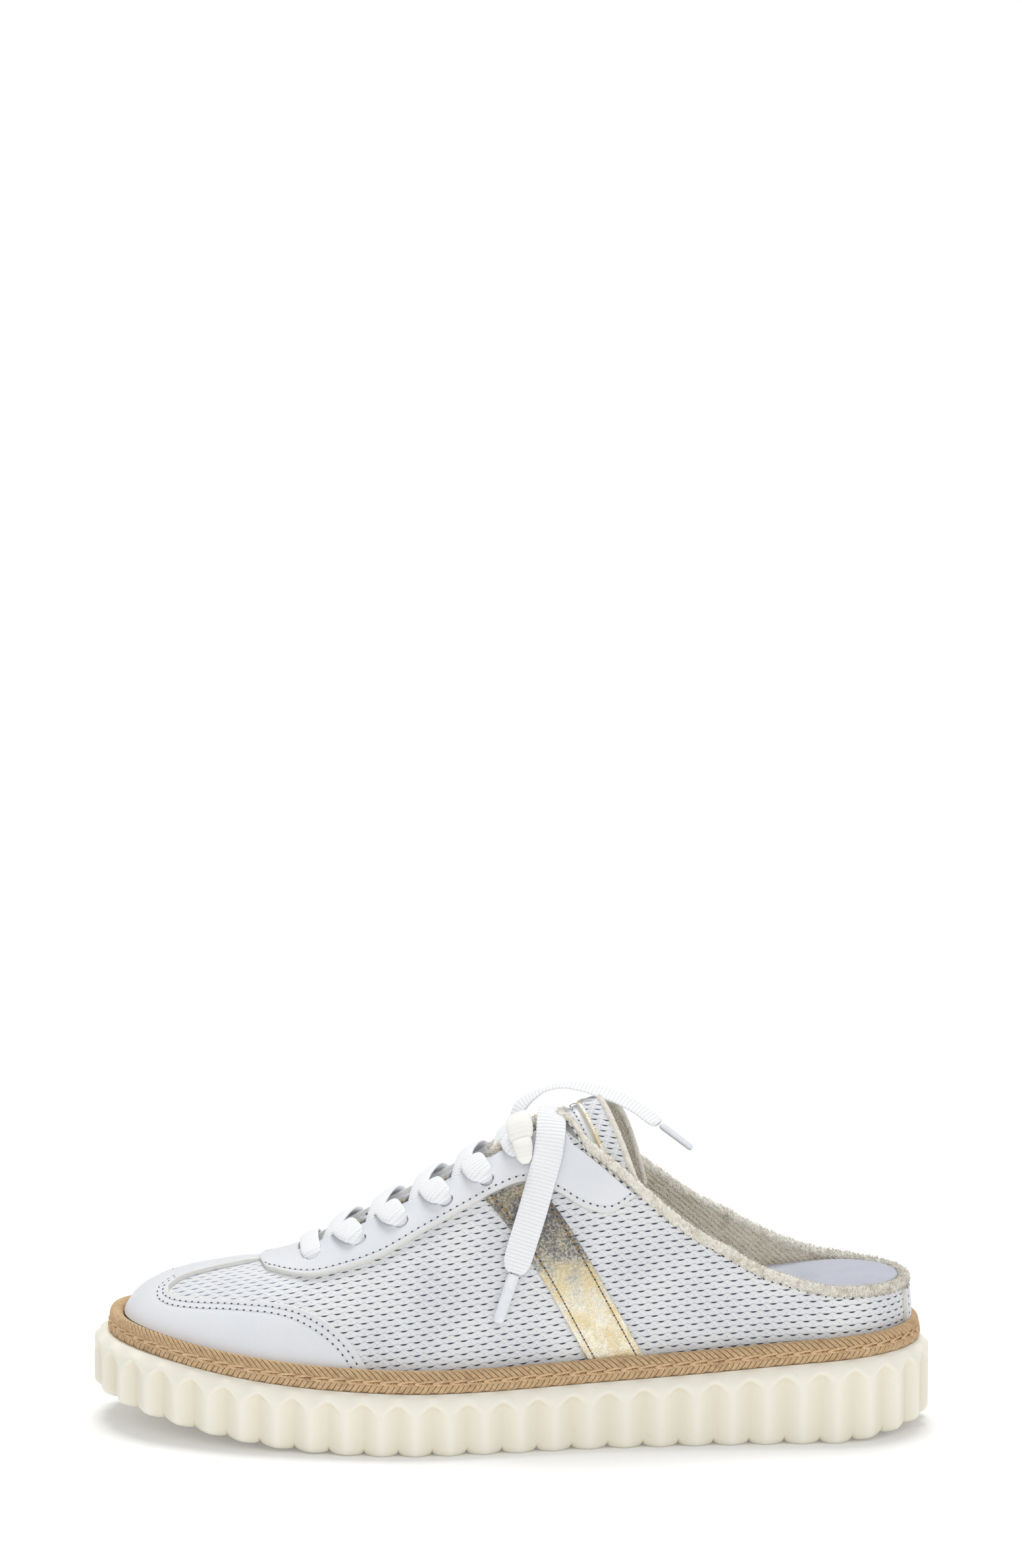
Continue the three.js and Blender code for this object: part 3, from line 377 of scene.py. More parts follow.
def walled(*patches):
    """A closed wall from patches, each a (face, back, uv) of grids: their faces are joined where
    they meet, the backs are turned over, and quads close every open edge between the two.
    Returns points, quads, uv corners and kinds: 0 face, 1 back, 2 edge."""
    face, back, chart, quads, count = [], [], [], [], 0
    for grid, under, flat in patches:
        face.append(grid.reshape(-1, 3))
        back.append(under.reshape(-1, 3))
        chart.append(flat.reshape(-1, 2))
        quads.append(grid_quads(*grid.shape[:2]) + count)
        count += len(face[-1])
    face, back, chart, quads = map(np.concatenate, (face, back, chart, quads))
    first = merged(face)
    joined = first[quads]
    ends = np.stack([joined, np.roll(joined, -1, axis=1)], -1).reshape(-1, 2)
    raw = np.stack([quads, np.roll(quads, -1, axis=1)], -1).reshape(-1, 2)
    real = ends[:, 0] != ends[:, 1]
    ends, raw = ends[real], raw[real]
    open_edge = ~np.isin(ends[:, 0] * count + ends[:, 1], ends[:, 1] * count + ends[:, 0])
    a, b = ends[open_edge].T
    edge = np.stack([b, a, a + count, b + count], -1)
    edge_chart = chart[raw[open_edge]][:, [1, 0, 0, 1]]
    points = np.concatenate([face, back[first]])
    everything = np.concatenate([joined, joined[:, ::-1] + count, edge])
    uv = np.concatenate([chart[quads], chart[quads][:, ::-1], edge_chart])
    kinds = np.repeat([0, 1, 2], [len(quads), len(quads), len(edge)])
    return points, everything, uv, kinds


def srgb(red, green, blue):
    """A colour as the eye sees it, 0 to 255, in the shader's linear light."""
    c = np.array([red, green, blue]) / 255
    linear = np.where(c <= 0.04045, c / 12.92, ((c + 0.055) / 1.055) ** 2.4)
    return (*linear.tolist(), 1.0)


def new_finish(name, roughness, **constants):
    """A material with its shader's own constants set, its node tree and the shader."""
    finish = bpy.data.materials.new(name)
    finish.use_nodes = True
    shader = finish.node_tree.nodes["Principled BSDF"]
    shader.inputs["Roughness"].default_value = roughness
    for title, value in constants.items():
        shader.inputs[title.replace("_", " ")].default_value = value
    return finish, finish.node_tree, shader


def node(tree, kind, inputs=(), **settings):
    """A shader node with its settings and its inputs, which are sockets or values."""
    made = tree.nodes.new("ShaderNode" + kind)
    for title, value in settings.items():
        setattr(made, title, value)
    for title, value in dict(inputs).items():
        if isinstance(value, bpy.types.NodeSocket):
            tree.links.new(value, made.inputs[title])
        else:
            made.inputs[title].default_value = value
    return made


def sums(tree, operation, *values):
    """The result of a Math node."""
    return node(tree, "Math", enumerate(values), operation=operation).outputs[0]


def fade(tree, value, start, end, low=0.0, high=1.0):
    """A value eased from low at start to high at end."""
    inputs = {"Value": value, "From Min": start, "From Max": end, "To Min": low, "To Max": high}
    return node(tree, "MapRange", inputs, interpolation_type="SMOOTHSTEP").outputs[0]


def blend_colour(tree, share, first, second):
    """The first colour at share 0 and the second at 1."""
    return node(tree, "Mix", {0: share, 6: first, 7: second}, data_type="RGBA").outputs[2]


def noise(tree, place, scale, detail=2.0, roughness=0.5):
    """The value of a Noise Texture at a place."""
    inputs = {"Vector": place, "Scale": scale, "Detail": detail, "Roughness": roughness}
    return node(tree, "TexNoise", inputs).outputs[0]


def bump(tree, shader, height, distance, strength=1.0, under=None):
    """Puts a height in metres over the shader's normal, on top of another bump if there is one."""
    inputs = {"Height": height, "Distance": distance, "Strength": strength}
    if under is not None:
        inputs["Normal"] = under
    made = node(tree, "Bump", inputs).outputs[0]
    tree.links.new(made, shader.inputs["Normal"])
    return made


def new_group(name, inputs, outputs):
    """A shared effect: a node group with (name, kind, value) inputs and (name, kind) outputs."""
    group = bpy.data.node_groups.new(name, "ShaderNodeTree")
    for title, kind, value in inputs:
        socket = group.interface.new_socket(title, in_out="INPUT", socket_type="NodeSocket" + kind)
        if value is not None:
            socket.default_value = value
    for title, kind in outputs:
        group.interface.new_socket(title, in_out="OUTPUT", socket_type="NodeSocket" + kind)
    return group, group.nodes.new("NodeGroupInput").outputs, group.nodes.new("NodeGroupOutput").inputs


def place_group(tree, group, inputs):
    """A shared effect placed in a material: its outputs for these inputs."""
    return node(tree, "Group", inputs, node_tree=group).outputs


# Outsole
# A cupped block of ivory rubber, moulded in one. Its side wall is fluted like a column, each
# flute ending in an arch under a smooth band, and the tread has one lobe under each ridge.
FLUTE_PITCH = 11.8
FLUTE_DEPTH = 1.7
ARCH_DROP = 2.4
ARCH_RISE = 3.0
ARCH_STEP = 2.3
WALL_INSET = 0.2
BAND_INSET = 0.45
LEDGE_LAP = 0.4
NOTCH_DEPTH = 1.4
NOTCH_SHARE = 0.6
EDGE_ROUND = 2.6
RIDGE_SOFTNESS = 0.2
GROOVE_POWER = 1.4
FLUTE_COLUMNS = 20
TREAD_ROWS = 12
RUBBER = srgb(242, 239, 226)
# Painted shade: the flutes' hollows are tinted creamier by their depth, standing in for the light
# bounced round inside them.
RUBBER_HOLLOW_SHADE = srgb(232, 225, 205)
RUBBER_SPECK = srgb(222, 214, 196)


def join(parts):
    """Several (points, quads, ...) as one: the quads are numbered on, the rest is laid end to end."""
    starts = np.cumsum([0] + [len(part[0]) for part in parts[:-1]])
    numbered = [(part[0], part[1] + start, *part[2:]) for part, start in zip(parts, starts)]
    return [np.concatenate(column) for column in zip(*numbered)]


def make_outsole():
    """Rings of the side wall from the tread up to the ledge, at an inset and a height for each
    column; the flute's depth is one less a power of the way from its groove to the ridge."""
    _, side_length = even_steps(1)
    flutes = round(side_length / FLUTE_PITCH)
    steps, _ = even_steps(flutes * FLUTE_COLUMNS)
    s = np.concatenate([steps, -steps[-2:0:-1]])
    k = np.arange(len(s))
    away = np.abs(((k + FLUTE_COLUMNS / 2) % FLUTE_COLUMNS) / FLUTE_COLUMNS - 0.5) * 2
    soft = np.sqrt((1 - away) ** 2 + RIDGE_SOFTNESS**2) - RIDGE_SOFTNESS
    soft /= math.sqrt(1 + RIDGE_SOFTNESS**2) - RIDGE_SOFTNESS
    scoop = FLUTE_DEPTH * (1 - (1 - soft) ** GROOVE_POWER)
    near = np.clip(1 - away / NOTCH_SHARE, 0, 1)
    notch = NOTCH_DEPTH * (1 - np.sqrt(1 - near**2))
    edge = outline(s)
    top, under = sole_top(edge[:, 0]), sole_under(edge[:, 0]) + notch
    arch = top - ARCH_DROP - ARCH_RISE * (0.5 - 0.5 * np.cos(np.pi * away))
    rings = []
    for turn in np.linspace(0, math.pi / 2, 6):
        inset = WALL_INSET + scoop + EDGE_ROUND * (1 - math.sin(turn))
        rings.append((inset, under + EDGE_ROUND * (1 - math.cos(turn)), scoop / FLUTE_DEPTH))
    foot = under + EDGE_ROUND
    for share in np.linspace(0.2, 0.999, 5):
        height = mix(foot, arch - ARCH_STEP, share)
        rings.append((WALL_INSET + scoop, height, scoop / FLUTE_DEPTH))
    for share in np.linspace(0.2, 1, 6):
        left = 1 - smooth(0, 1, np.array(share))
        inset = mix(BAND_INSET, WALL_INSET + scoop, left)
        rings.append((inset, arch - ARCH_STEP * (1 - share), left * scoop))
    for share in np.linspace(0.2, 1, 6):
        inset = mix(BAND_INSET, ROPE_INSET - LEDGE_LAP, share**1.7)
        rings.append((inset, mix(arch, top, share), 0 * scoop))
    # Each ring's share of the flute's depth also marks where the hollows are painted in shade.
    wall, hollow_shade = [], []
    for inset, height, depth in rings:
        wall.append(np.column_stack([inset_outline(s, inset), height]))
        hollow_shade.append(depth)
    wall, hollow_shade = np.stack(wall, 1), np.stack(hollow_shade, 1)
    columns, rows = wall.shape[:2]
    parts = [(wall.reshape(-1, 3), grid_quads(columns, rows, wrap_columns=True), hollow_shade.reshape(-1))]
    half = len(steps)
    mirror = np.concatenate([[0], np.arange(columns - 1, half - 2, -1)])
    for ring, rows_across in ((0, TREAD_ROWS), (rows - 1, 3)):
        share = np.linspace(0, 1, rows_across + 1)[None, :, None]
        outer, inner = wall[:half, ring], wall[mirror, ring]
        fill = mix(outer[:, None], inner[:, None], share)
        faces = grid_quads(half, rows_across + 1)
        if ring == 0:
            inside = (share[..., 0] > 0) & (share[..., 0] < 1)
            tread = sole_under(fill[..., 0]) + notch[:half, None]
            fill[..., 2] = np.where(inside, tread, fill[..., 2])
        else:
            faces = faces[:, ::-1]
        parts.append((fill.reshape(-1, 3), faces, np.zeros(half * (rows_across + 1))))
    return join(parts)


rubber, tree, shader = new_finish("ivory_rubber", 0.5, Specular_IOR_Level=0.4)
place = node(tree, "TexCoord").outputs["Object"]
# Painted shade: the rubber is blended towards a creamier colour by the depth of the flute's hollow.
hollow_shade = node(tree, "Attribute", attribute_name="hollow_shade").outputs["Fac"]
base = blend_colour(tree, hollow_shade, RUBBER, RUBBER_HOLLOW_SHADE)
speck = fade(tree, noise(tree, place, 420, 3), 0.66, 0.8, 0, 0.5)
tree.links.new(blend_colour(tree, speck, base, RUBBER_SPECK), shader.inputs["Base Color"])
tree.links.new(fade(tree, noise(tree, place, 60, 3), 0.3, 0.7, 0.44, 0.58), shader.inputs["Roughness"])
bump(tree, shader, noise(tree, place, 900, 2), 0.00006, 0.5)
sole_points, sole_quads, sole_hollow_shade = make_outsole()
outsole = make_piece("outsole_rubber", sole_points, sole_quads, [rubber],
                     marks={"hollow_shade": sole_hollow_shade}, crease=50)
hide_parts("outsole")

# Rope welt
# Two rows of jute cord laid on the sole's ledge and sewn together with a chain of the same yarn.
# The upper row's strands lean one way, and the lower row is bunched by the stitches between them.
STRAND_PITCH = 2.1
THREAD_PITCH = 1.9
STRAND_COLUMNS = 8
ROPE_ROWS = 15
BUNCH_PITCH = 5.7
TOE_TUCK = 1.7
ROPE_FROM = -1.75
YARN_SHARE = 0.4
LOBE_LEVEL = 0.6
UPPER_ROW = {"middle": 5.45, "half_height": 2.0, "out": 1.3, "inset": 5.2, "lean": 0.95}
LOWER_ROW = {"middle": 1.75, "half_height": 1.8, "out": 1.4, "inset": 4.9, "lean": -0.6}
STRAND_RELIEF = 0.8
THREAD_RELIEF = 0.55
BUNCH_RELIEF = 0.55
CHAIN = {"height": 3.6, "inset": 3.95, "half_width": 1.0, "radius": 0.46, "overlap": 1.2}
JUTE = srgb(207, 174, 134)
JUTE_DARK = srgb(112, 78, 48)
JUTE_LIGHT = srgb(227, 200, 162)


def way_along(line):
    """Millimetres along a line of points from its first one."""
    return np.concatenate([[0], np.cumsum(np.linalg.norm(np.diff(line, axis=0), axis=1))])


def copied(quads, count, size):
    """The quads of one shape of size points, numbered on for count such shapes."""
    return (quads[None] + np.arange(count)[:, None, None] * size).reshape(-1, 4)


def rope_laid():
    """s round the whole shoe, with the way laid along the rope up to there in millimetres."""
    s = np.linspace(0, 2, 4001)
    return s, way_along(inset_outline(s, np.full(len(s), ROPE_INSET)))


def toe_tuck(s):
    """How much nearer the upper the rope is drawn round the toe."""
    return TOE_TUCK * (1 - smooth(0.01, 0.13, station(s)))


def make_rope_row(row, pitch, relief, bunch):
    """A round cord, joined to the upper by a strip in its shadow. Its columns lean with the
    strands, and its radius swells over each strand and again over its two yarns, by roots of
    sines. The last result marks what lies in shade: the gaps, the strip and the lower row's foot."""
    s_laid, laid = rope_laid()
    length = laid[-1]
    strands = round(length / pitch)
    paces = np.arange(strands * STRAND_COLUMNS) / (strands * STRAND_COLUMNS) * length
    turn = np.linspace(ROPE_FROM, np.pi, ROPE_ROWS)
    turn = np.append(turn, np.pi)
    way = (paces[:, None] - row["lean"] * row["half_height"] * turn[None, :]) % length
    s = np.interp(way, laid, s_laid)
    phase = paces / length * strands * np.pi
    strand, yarn = np.abs(np.sin(phase)) ** 0.5, np.abs(np.sin(2 * phase)) ** 0.5
    lobe = ((1 - YARN_SHARE) * strand + YARN_SHARE * yarn)[:, None]
    inset = row["inset"] + toe_tuck(s)
    gather = np.abs(np.sin(np.pi * way / length * round(length / BUNCH_PITCH))) * bunch
    if row is UPPER_ROW:
        gather = gather * smooth(0.6, -0.8, turn)
    swell = relief * (lobe - LOBE_LEVEL) + gather - bunch / 2
    inner = np.maximum(upper_inset(station(s)) - FIT_GAP - inset, 0.3)
    round_back = row["out"] + swell + 0.6 + 0.9 * toe_tuck(s)
    inner[:, :-1] = np.minimum(inner[:, :-1], round_back[:, :-1])
    out = np.where(np.cos(turn) < 0, inner, row["out"] + swell) * np.cos(turn)
    up = (row["half_height"] + 0.6 * swell) * np.sin(turn)
    flat = inset_outline(s, inset - out)
    z = sole_top(flat[..., 0]) + FIT_GAP / 2 + row["middle"] + up
    points = np.concatenate([flat, z[..., None]], -1)
    chart = np.stack([paces[:, None] + 0 * s, row["half_height"] * turn[None, :] + 0 * s], -1)
    quads = grid_quads(*s.shape, wrap_columns=True, wrap_rows=True)
    uv = chart.reshape(-1, 2)[quads]
    shadow = np.where(turn > 3, 1, smooth(-0.9, -1.5, turn) * (row is LOWER_ROW))
    return points.reshape(-1, 3), quads, uv, np.maximum(1 - lobe, shadow).reshape(-1)


def make_chain():
    """Links of yarn along the valley: each is a tube round a drop-shaped loop that starts inside
    the link before it."""
    s_laid, laid = rope_laid()
    length = laid[-1]
    links = round(length / BUNCH_PITCH)
    pace = np.arange(links)[:, None] * length / links
    lap = np.linspace(0, 2 * np.pi, 15)[None, :-1]
    reach = BUNCH_PITCH * CHAIN["overlap"]
    ahead = reach * (0.5 - 0.5 * np.cos(lap))
    rise = CHAIN["half_width"] * np.sin(lap) * (0.3 + 0.7 * (0.5 - 0.5 * np.cos(lap)))
    s = np.interp((pace + ahead) % length, laid, s_laid)
    inset = CHAIN["inset"] - 0.35 * np.cos(lap) + toe_tuck(s)
    flat = inset_outline(s, inset)
    z = sole_top(flat[..., 0]) + CHAIN["height"] + rise
    centre = np.concatenate([flat, z[..., None]], -1)
    tangent = unit(np.roll(centre, -1, axis=1) - np.roll(centre, 1, axis=1))
    outward = flat - inset_outline(s, inset + 1)
    outward = np.concatenate([outward, 0 * z[..., None]], -1)
    across = unit(np.cross(tangent, outward))
    out = np.cross(across, tangent)
    turn = np.arange(6) * np.pi / 3
    ring = across[..., None, :] * np.cos(turn)[:, None] + out[..., None, :] * np.sin(turn)[:, None]
    points = centre[..., None, :] + CHAIN["radius"] * ring
    loops = lap.shape[1]
    link = grid_quads(loops, 6, wrap_columns=True, wrap_rows=True)
    return points.reshape(-1, 3), copied(link, links, loops * 6)


jute, tree, shader = new_finish("jute_rope", 0.92, Specular_IOR_Level=0.2)
place = node(tree, "TexCoord").outputs["Object"]
chart = node(tree, "TexCoord").outputs["UV"]
gap = node(tree, "Attribute", attribute_name="gap").outputs["Fac"]
tuft = noise(tree, place, 1100, 4, 0.7)
body = blend_colour(tree, fade(tree, tuft, 0.35, 0.7), JUTE, JUTE_LIGHT)
body = blend_colour(tree, fade(tree, noise(tree, place, 260, 2), 0.5, 0.8, 0, 0.3), body, JUTE_DARK)
tree.links.new(blend_colour(tree, fade(tree, gap, 0.3, 0.95, 0, 0.95), body, JUTE_DARK),
               shader.inputs["Base Color"])
fibre_place = node(tree, "Mapping", {"Vector": chart, "Rotation": (0, 0, math.radians(-38)),
                                     "Scale": (0.6, 4.0, 1)}).outputs[0]
fibre = noise(tree, fibre_place, 2.2, 3, 0.6)
bump(tree, shader, sums(tree, "ADD", fibre, sums(tree, "MULTIPLY", tuft, 0.5)), 0.00022, 0.9)
rope_upper = make_rope_row(UPPER_ROW, STRAND_PITCH, STRAND_RELIEF, BUNCH_RELIEF / 2)
rope_lower = make_rope_row(LOWER_ROW, THREAD_PITCH, THREAD_RELIEF, BUNCH_RELIEF)
welt = make_piece("rope_welt_upper_row", rope_upper[0], rope_upper[1], [jute], uv=rope_upper[2],
                  marks={"gap": rope_upper[3]}, crease=180)
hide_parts("rope_welt")
welt_low = make_piece("rope_welt_lower_row", rope_lower[0], rope_lower[1], [jute],
                      uv=rope_lower[2], marks={"gap": rope_lower[3]}, crease=180)
chain_points, chain_quads = make_chain()
chain = make_piece("rope_welt_chain", chain_points, chain_quads, [jute], crease=180)

# Insole
# A padded footbed covered in smooth lavender-grey leather, a wedge that is highest at the heel.
# It is dropped in and fills the foot of the upper; its edge rolls down along the lining.
HEEL_WEDGE = 20.0
INSOLE_GAP = 0.5
INSOLE_ROLL = 1.6
INSOLE_DISH = 0.7
INSOLE_PAD = 1.6
INSOLE = {
    "at": [0, 0.30, 0.45, 0.60, 0.75, 0.90, 1],
    "thick": [0.26, 0.30, 0.50, 0.78, 0.96, 1, 1],
}
INSOLE_LEATHER = srgb(192, 195, 206)
INSOLE_CREASE = srgb(176, 179, 192)


def make_insole():
    """The top is stretched between two edges of the wall's foot, its rim rounded by a quarter
    turn, with a shallow dish and soft padding at the heel; the underside lies on the sole."""
    s = np.linspace(0, 1, 141)
    inner = -(UPPER_WALL + INSOLE_GAP)
    foot_x = form(s, 0 * s)[:, 0]
    thick = HEEL_WEDGE * along(INSOLE, "thick", foot_x / SOLE_LENGTH + 0.5)
    rims = []
    for side in (1, -1):
        share = up_at_height(side * s, FIT_GAP + thick)
        rims.append((skin(side * s, 0 * s, np.full(len(s), inner)),
                     skin(side * s, share, np.full(len(s), inner))))
    width = np.linspace(0, 1, 31)
    spread = np.concatenate([0.03 * width[:4] / width[3], np.linspace(0.05, 0.95, 23),
                             1 - 0.03 * width[3::-1] / width[3]])[None, :, None]
    top = mix(rims[0][1][:, None], rims[1][1][:, None], spread)
    span = np.linalg.norm(rims[0][1] - rims[1][1], axis=1)[:, None]
    near = np.minimum(spread[..., 0], 1 - spread[..., 0]) * span
    roll = INSOLE_ROLL * (1 - np.sqrt(1 - np.clip(1 - near / INSOLE_ROLL, 0, 1) ** 2))
    dish = INSOLE_DISH * (1 - (2 * spread[..., 0] - 1) ** 4) * smooth(0.3, 0.7, station(s))[:, None]
    height = sole_top(top[..., 0]) + FIT_GAP
    height += HEEL_WEDGE * along(INSOLE, "thick", top[..., 0] / SOLE_LENGTH + 0.5)
    pad = INSOLE_PAD * smooth(0.4, 0.75, station(s))[:, None]
    top[..., 2] = height + pad - roll - dish
    base = mix(rims[0][0][:, None], rims[1][0][:, None], spread)
    base[..., 2] = sole_top(base[..., 0]) + FIT_GAP
    flat = top[..., :2]
    return walled((top[:, ::-1], base[:, ::-1], flat[:, ::-1]))


def make_grain():
    """Leather grain: small rounded cells with fine creases between them, and wider waves."""
    group, given, results = new_group(
        "leather_grain",
        [("Place", "Vector", None), ("Scale", "Float", 900.0), ("Waves", "Float", 0.4)],
        [("Height", "Float"), ("Shade", "Float")],
    )
    warp = noise(group, given["Place"], 400, 2)
    shift = node(group, "CombineXYZ", {0: sums(group, "MULTIPLY", warp, 0.0008)}).outputs[0]
    moved = node(group, "VectorMath", {0: given["Place"], 1: shift}).outputs[0]
    cells = node(group, "TexVoronoi", {"Vector": moved, "Scale": given["Scale"]},
                 feature="DISTANCE_TO_EDGE").outputs["Distance"]
    cell_height = fade(group, cells, 0.0, 0.22)
    waves = noise(group, given["Place"], 90, 3)
    total = sums(group, "ADD", cell_height, sums(group, "MULTIPLY", waves, given["Waves"]))
    group.links.new(total, results["Height"])
    group.links.new(noise(group, given["Place"], 35, 3), results["Shade"])
    return group


grain_group = make_grain()


def leather(name, colour, shade, raw_edge, roughness, scale, depth, coat=0.0):
    """A smooth leather: its grain, a slow change of tone, and a raw cut edge."""
    finish, tree, shader = new_finish(name, roughness, Specular_IOR_Level=0.4, Coat_Weight=coat,
                                      Coat_Roughness=0.4)
    place = node(tree, "TexCoord").outputs["Object"]
    grain = place_group(tree, grain_group, {"Place": place, "Scale": scale, "Waves": 1.2})
    tone = blend_colour(tree, fade(tree, grain["Shade"], 0.35, 0.75), colour, shade)
    edge = node(tree, "Attribute", attribute_name="raw_edge").outputs["Fac"]
    tree.links.new(blend_colour(tree, edge, tone, raw_edge), shader.inputs["Base Color"])
    tree.links.new(fade(tree, grain["Shade"], 0.3, 0.7, roughness - 0.06, roughness + 0.06),
                   shader.inputs["Roughness"])
    bump(tree, shader, grain["Height"], depth, 0.6)
    return finish


insole_leather = leather("insole_leather", INSOLE_LEATHER, INSOLE_CREASE, INSOLE_LEATHER, 0.5,
                         700, 0.00007)
points, quads, uv, kinds = make_insole()
insole = make_piece("insole_footbed", points, quads, [insole_leather], uv=uv)
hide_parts("insole")

# Upper
# One shell of embossed mesh fabric, pulled over the last and closed under the insole. Inside it
# is lined with beige terry cloth. Its throat is cut open over the tongue, with punched eyelets.
TOP_LINE = {
    "at": [0, 0.12, 0.245, 0.28, 0.33, 0.38, 0.43, 0.475, 0.52, 0.55, 0.572, 0.61, 0.636, 0.662,
           0.688, 0.719, 0.76, 0.801, 0.835, 0.872, 0.918, 0.966, 1],
    "outer": [0.800, 0.850, 0.925, 0.895, 0.848, 0.824, 0.815, 0.815, 0.822, 0.808, 0.755, 0.642,
              0.568, 0.503, 0.443, 0.383, 0.325, 0.265, 0.233, 0.205, 0.193, 0.185, 0.182],
    "inner": [0.800, 0.850, 0.925, 0.895, 0.848, 0.824, 0.815, 0.815, 0.822, 0.808, 0.755, 0.642,
              0.573, 0.512, 0.456, 0.398, 0.341, 0.281, 0.243, 0.211, 0.195, 0.185, 0.182],
}
THROAT_FRONT = 0.245
BINDING_START = 0.576
BINDING_NOTCH = 0.564
BINDING_HEIGHT = 3.3
FABRIC_THICKNESS = 0.8
HOLE_RADIUS = 2.5
PUNCH_DEPTH = 8.0
PUNCH_SIDES = 24
HOLES = {
    "at": [0.265, 0.322, 0.373, 0.427, 0.475, 0.521],
    "up": [0.790, 0.735, 0.722, 0.716, 0.715, 0.733],
}
DASH_PERIOD = 4.35
DASH_ROW = 2.16
DASH_LEVEL = 0.26
DOT_LEVEL = 1.55
ROW_RISE = {
    "at": [0, 0.12, 0.16, 0.20, 0.24, 0.30, 0.40, 0.50, 0.60, 0.80, 1],
    "rise": [0.60, 0.55, 0.42, 0.28, 0.21, 0.16, 0.15, 0.13, 0.13, 0.06, 0],
}
FABRIC = srgb(234, 236, 238)
FABRIC_SHADE = srgb(222, 224, 229)
FABRIC_RIDGE = srgb(250, 250, 250)
# Painted shade: the slits' dark colour stands in for the shade inside them; the pale one is that painted
# shade made lighter where the cloth faces up.
FABRIC_SLIT_SHADE = srgb(52, 58, 74)
FABRIC_SLIT_SKY_LIT = srgb(152, 159, 182)
# Terry colours: the light one is painted light on the loops, the dark one painted shade between them and
# in the pits, and it also mottles the cloth at random.
TERRY = srgb(222, 212, 190)
TERRY_LIGHT = srgb(239, 232, 214)
TERRY_DARK = srgb(188, 176, 150)


def top_line(s):
    """The q of the upper's top edge, from the table's column for that side."""
    c = station(s)
    return np.where(np.asarray(s) < 0, along(TOP_LINE, "inner", c), along(TOP_LINE, "outer", c))


def drop_below(s, height):
    """The share of the run below the top line that a height square to the line takes up."""
    step = 0.004
    line = top_line(s)
    run = run_length(s, line)
    length = np.linalg.norm(form(s + step, line) - form(s - step, line), axis=-1)
    steep = (top_line(s + step) - top_line(s - step)) * run / length
    steep = np.where(np.abs(s) < 1 - step, steep, 0)
    return height * np.hypot(1, steep) / run


def lowered(s, depth):
    """The top line, lower by a depth all along the collar, with a short ramp where that starts."""
    ramp = np.clip((station(s) - BINDING_NOTCH) / (BINDING_START - BINDING_NOTCH), 0, 1)
    return top_line(s) - ramp * drop_below(s, depth)


def wall_top(s):
    """Top edge of the wall; along the collar it stops under the binding."""
    return lowered(s, BINDING_HEIGHT + 2 * FIT_GAP)


def hem(s):
    """Top edge of the cloth: like the wall's, but hidden in the middle of the collar's rim."""
    return lowered(s, BINDING_HEIGHT / 2)


def run_up(points):
    """Millimetres along each column of a grid from its first row."""
    paces = np.linalg.norm(np.diff(points, axis=1), axis=-1)
    return np.concatenate([np.zeros((len(points), 1)), np.cumsum(paces, axis=1)], 1)


def cloth_chart(s, points, lower=0.0):
    """Where a point lies on the flat cloth, in millimetres: its way along the shoe, grown by the
    bend round the heel, and its way up from the foot, less the rise of the cloth's rows."""
    fine = np.linspace(0, 1, 801)
    foot = inset_outline(fine, upper_inset(station(fine)))
    extra = way_along(foot) - foot[:, 0]
    extra = np.maximum(extra - np.interp(0.5, fine, extra), 0)
    share = np.linspace(-0.1, 1.1, 601)
    climb = np.cumsum(along(ROW_RISE, "rise", share)) * (share[1] - share[0]) * SOLE_LENGTH
    x = points[..., 0]
    u = x + np.interp(np.abs(s), fine, extra)[:, None]
    v = points[:, :1, 2] + run_up(points) + lower - np.interp(x / SOLE_LENGTH + 0.5, share, climb)
    return np.stack([u, v], -1)


def sheet_steps():
    """The columns of the wall, closer together at the throat's front."""
    front, rear = step_at(-1, THROAT_FRONT), step_at(-1, BINDING_START)
    side = np.concatenate([np.linspace(0, front, 46)[:-1], np.linspace(front, rear, 60)[:-1],
                           np.linspace(rear, 1, 76)])
    return np.concatenate([-side[:0:-1], side]), front


def make_shell(outer, inner):
    """A shell between two heights over the last: every section rises to the wall's top, and ahead
    of the throat a second patch runs on over the ridge and meets the other side's."""
    s, front = sheet_steps()
    rise = np.linspace(0, 1, 41)[None, :]
    q = hem(s)[:, None] * rise
    side_face = skin(s[:, None], q, np.full(q.shape, outer))
    side_back = skin(s[:, None], q, np.full(q.shape, inner))
    chart = cloth_chart(s, side_face)
    patches = [(side_face, side_back, chart)]
    for part in (s[(s >= 0) & (s <= front + 1e-9)], s[(s <= 0) & (s >= -front - 1e-9)]):
        low = hem(part)[:, None]
        q = mix(low, 1, np.linspace(0, 1, 11)[None, :])
        face = skin(part[:, None], q, np.full(q.shape, outer))
        back = skin(part[:, None], q, np.full(q.shape, inner))
        start = cloth_chart(part, skin(part[:, None], low * rise, np.full((len(part), 41), outer)))
        top = cloth_chart(part, face)
        top[..., 1] += (start[:, -1, 1] - top[:, 0, 1])[:, None]
        patches.append((face, back, top))
    return walled(*patches)


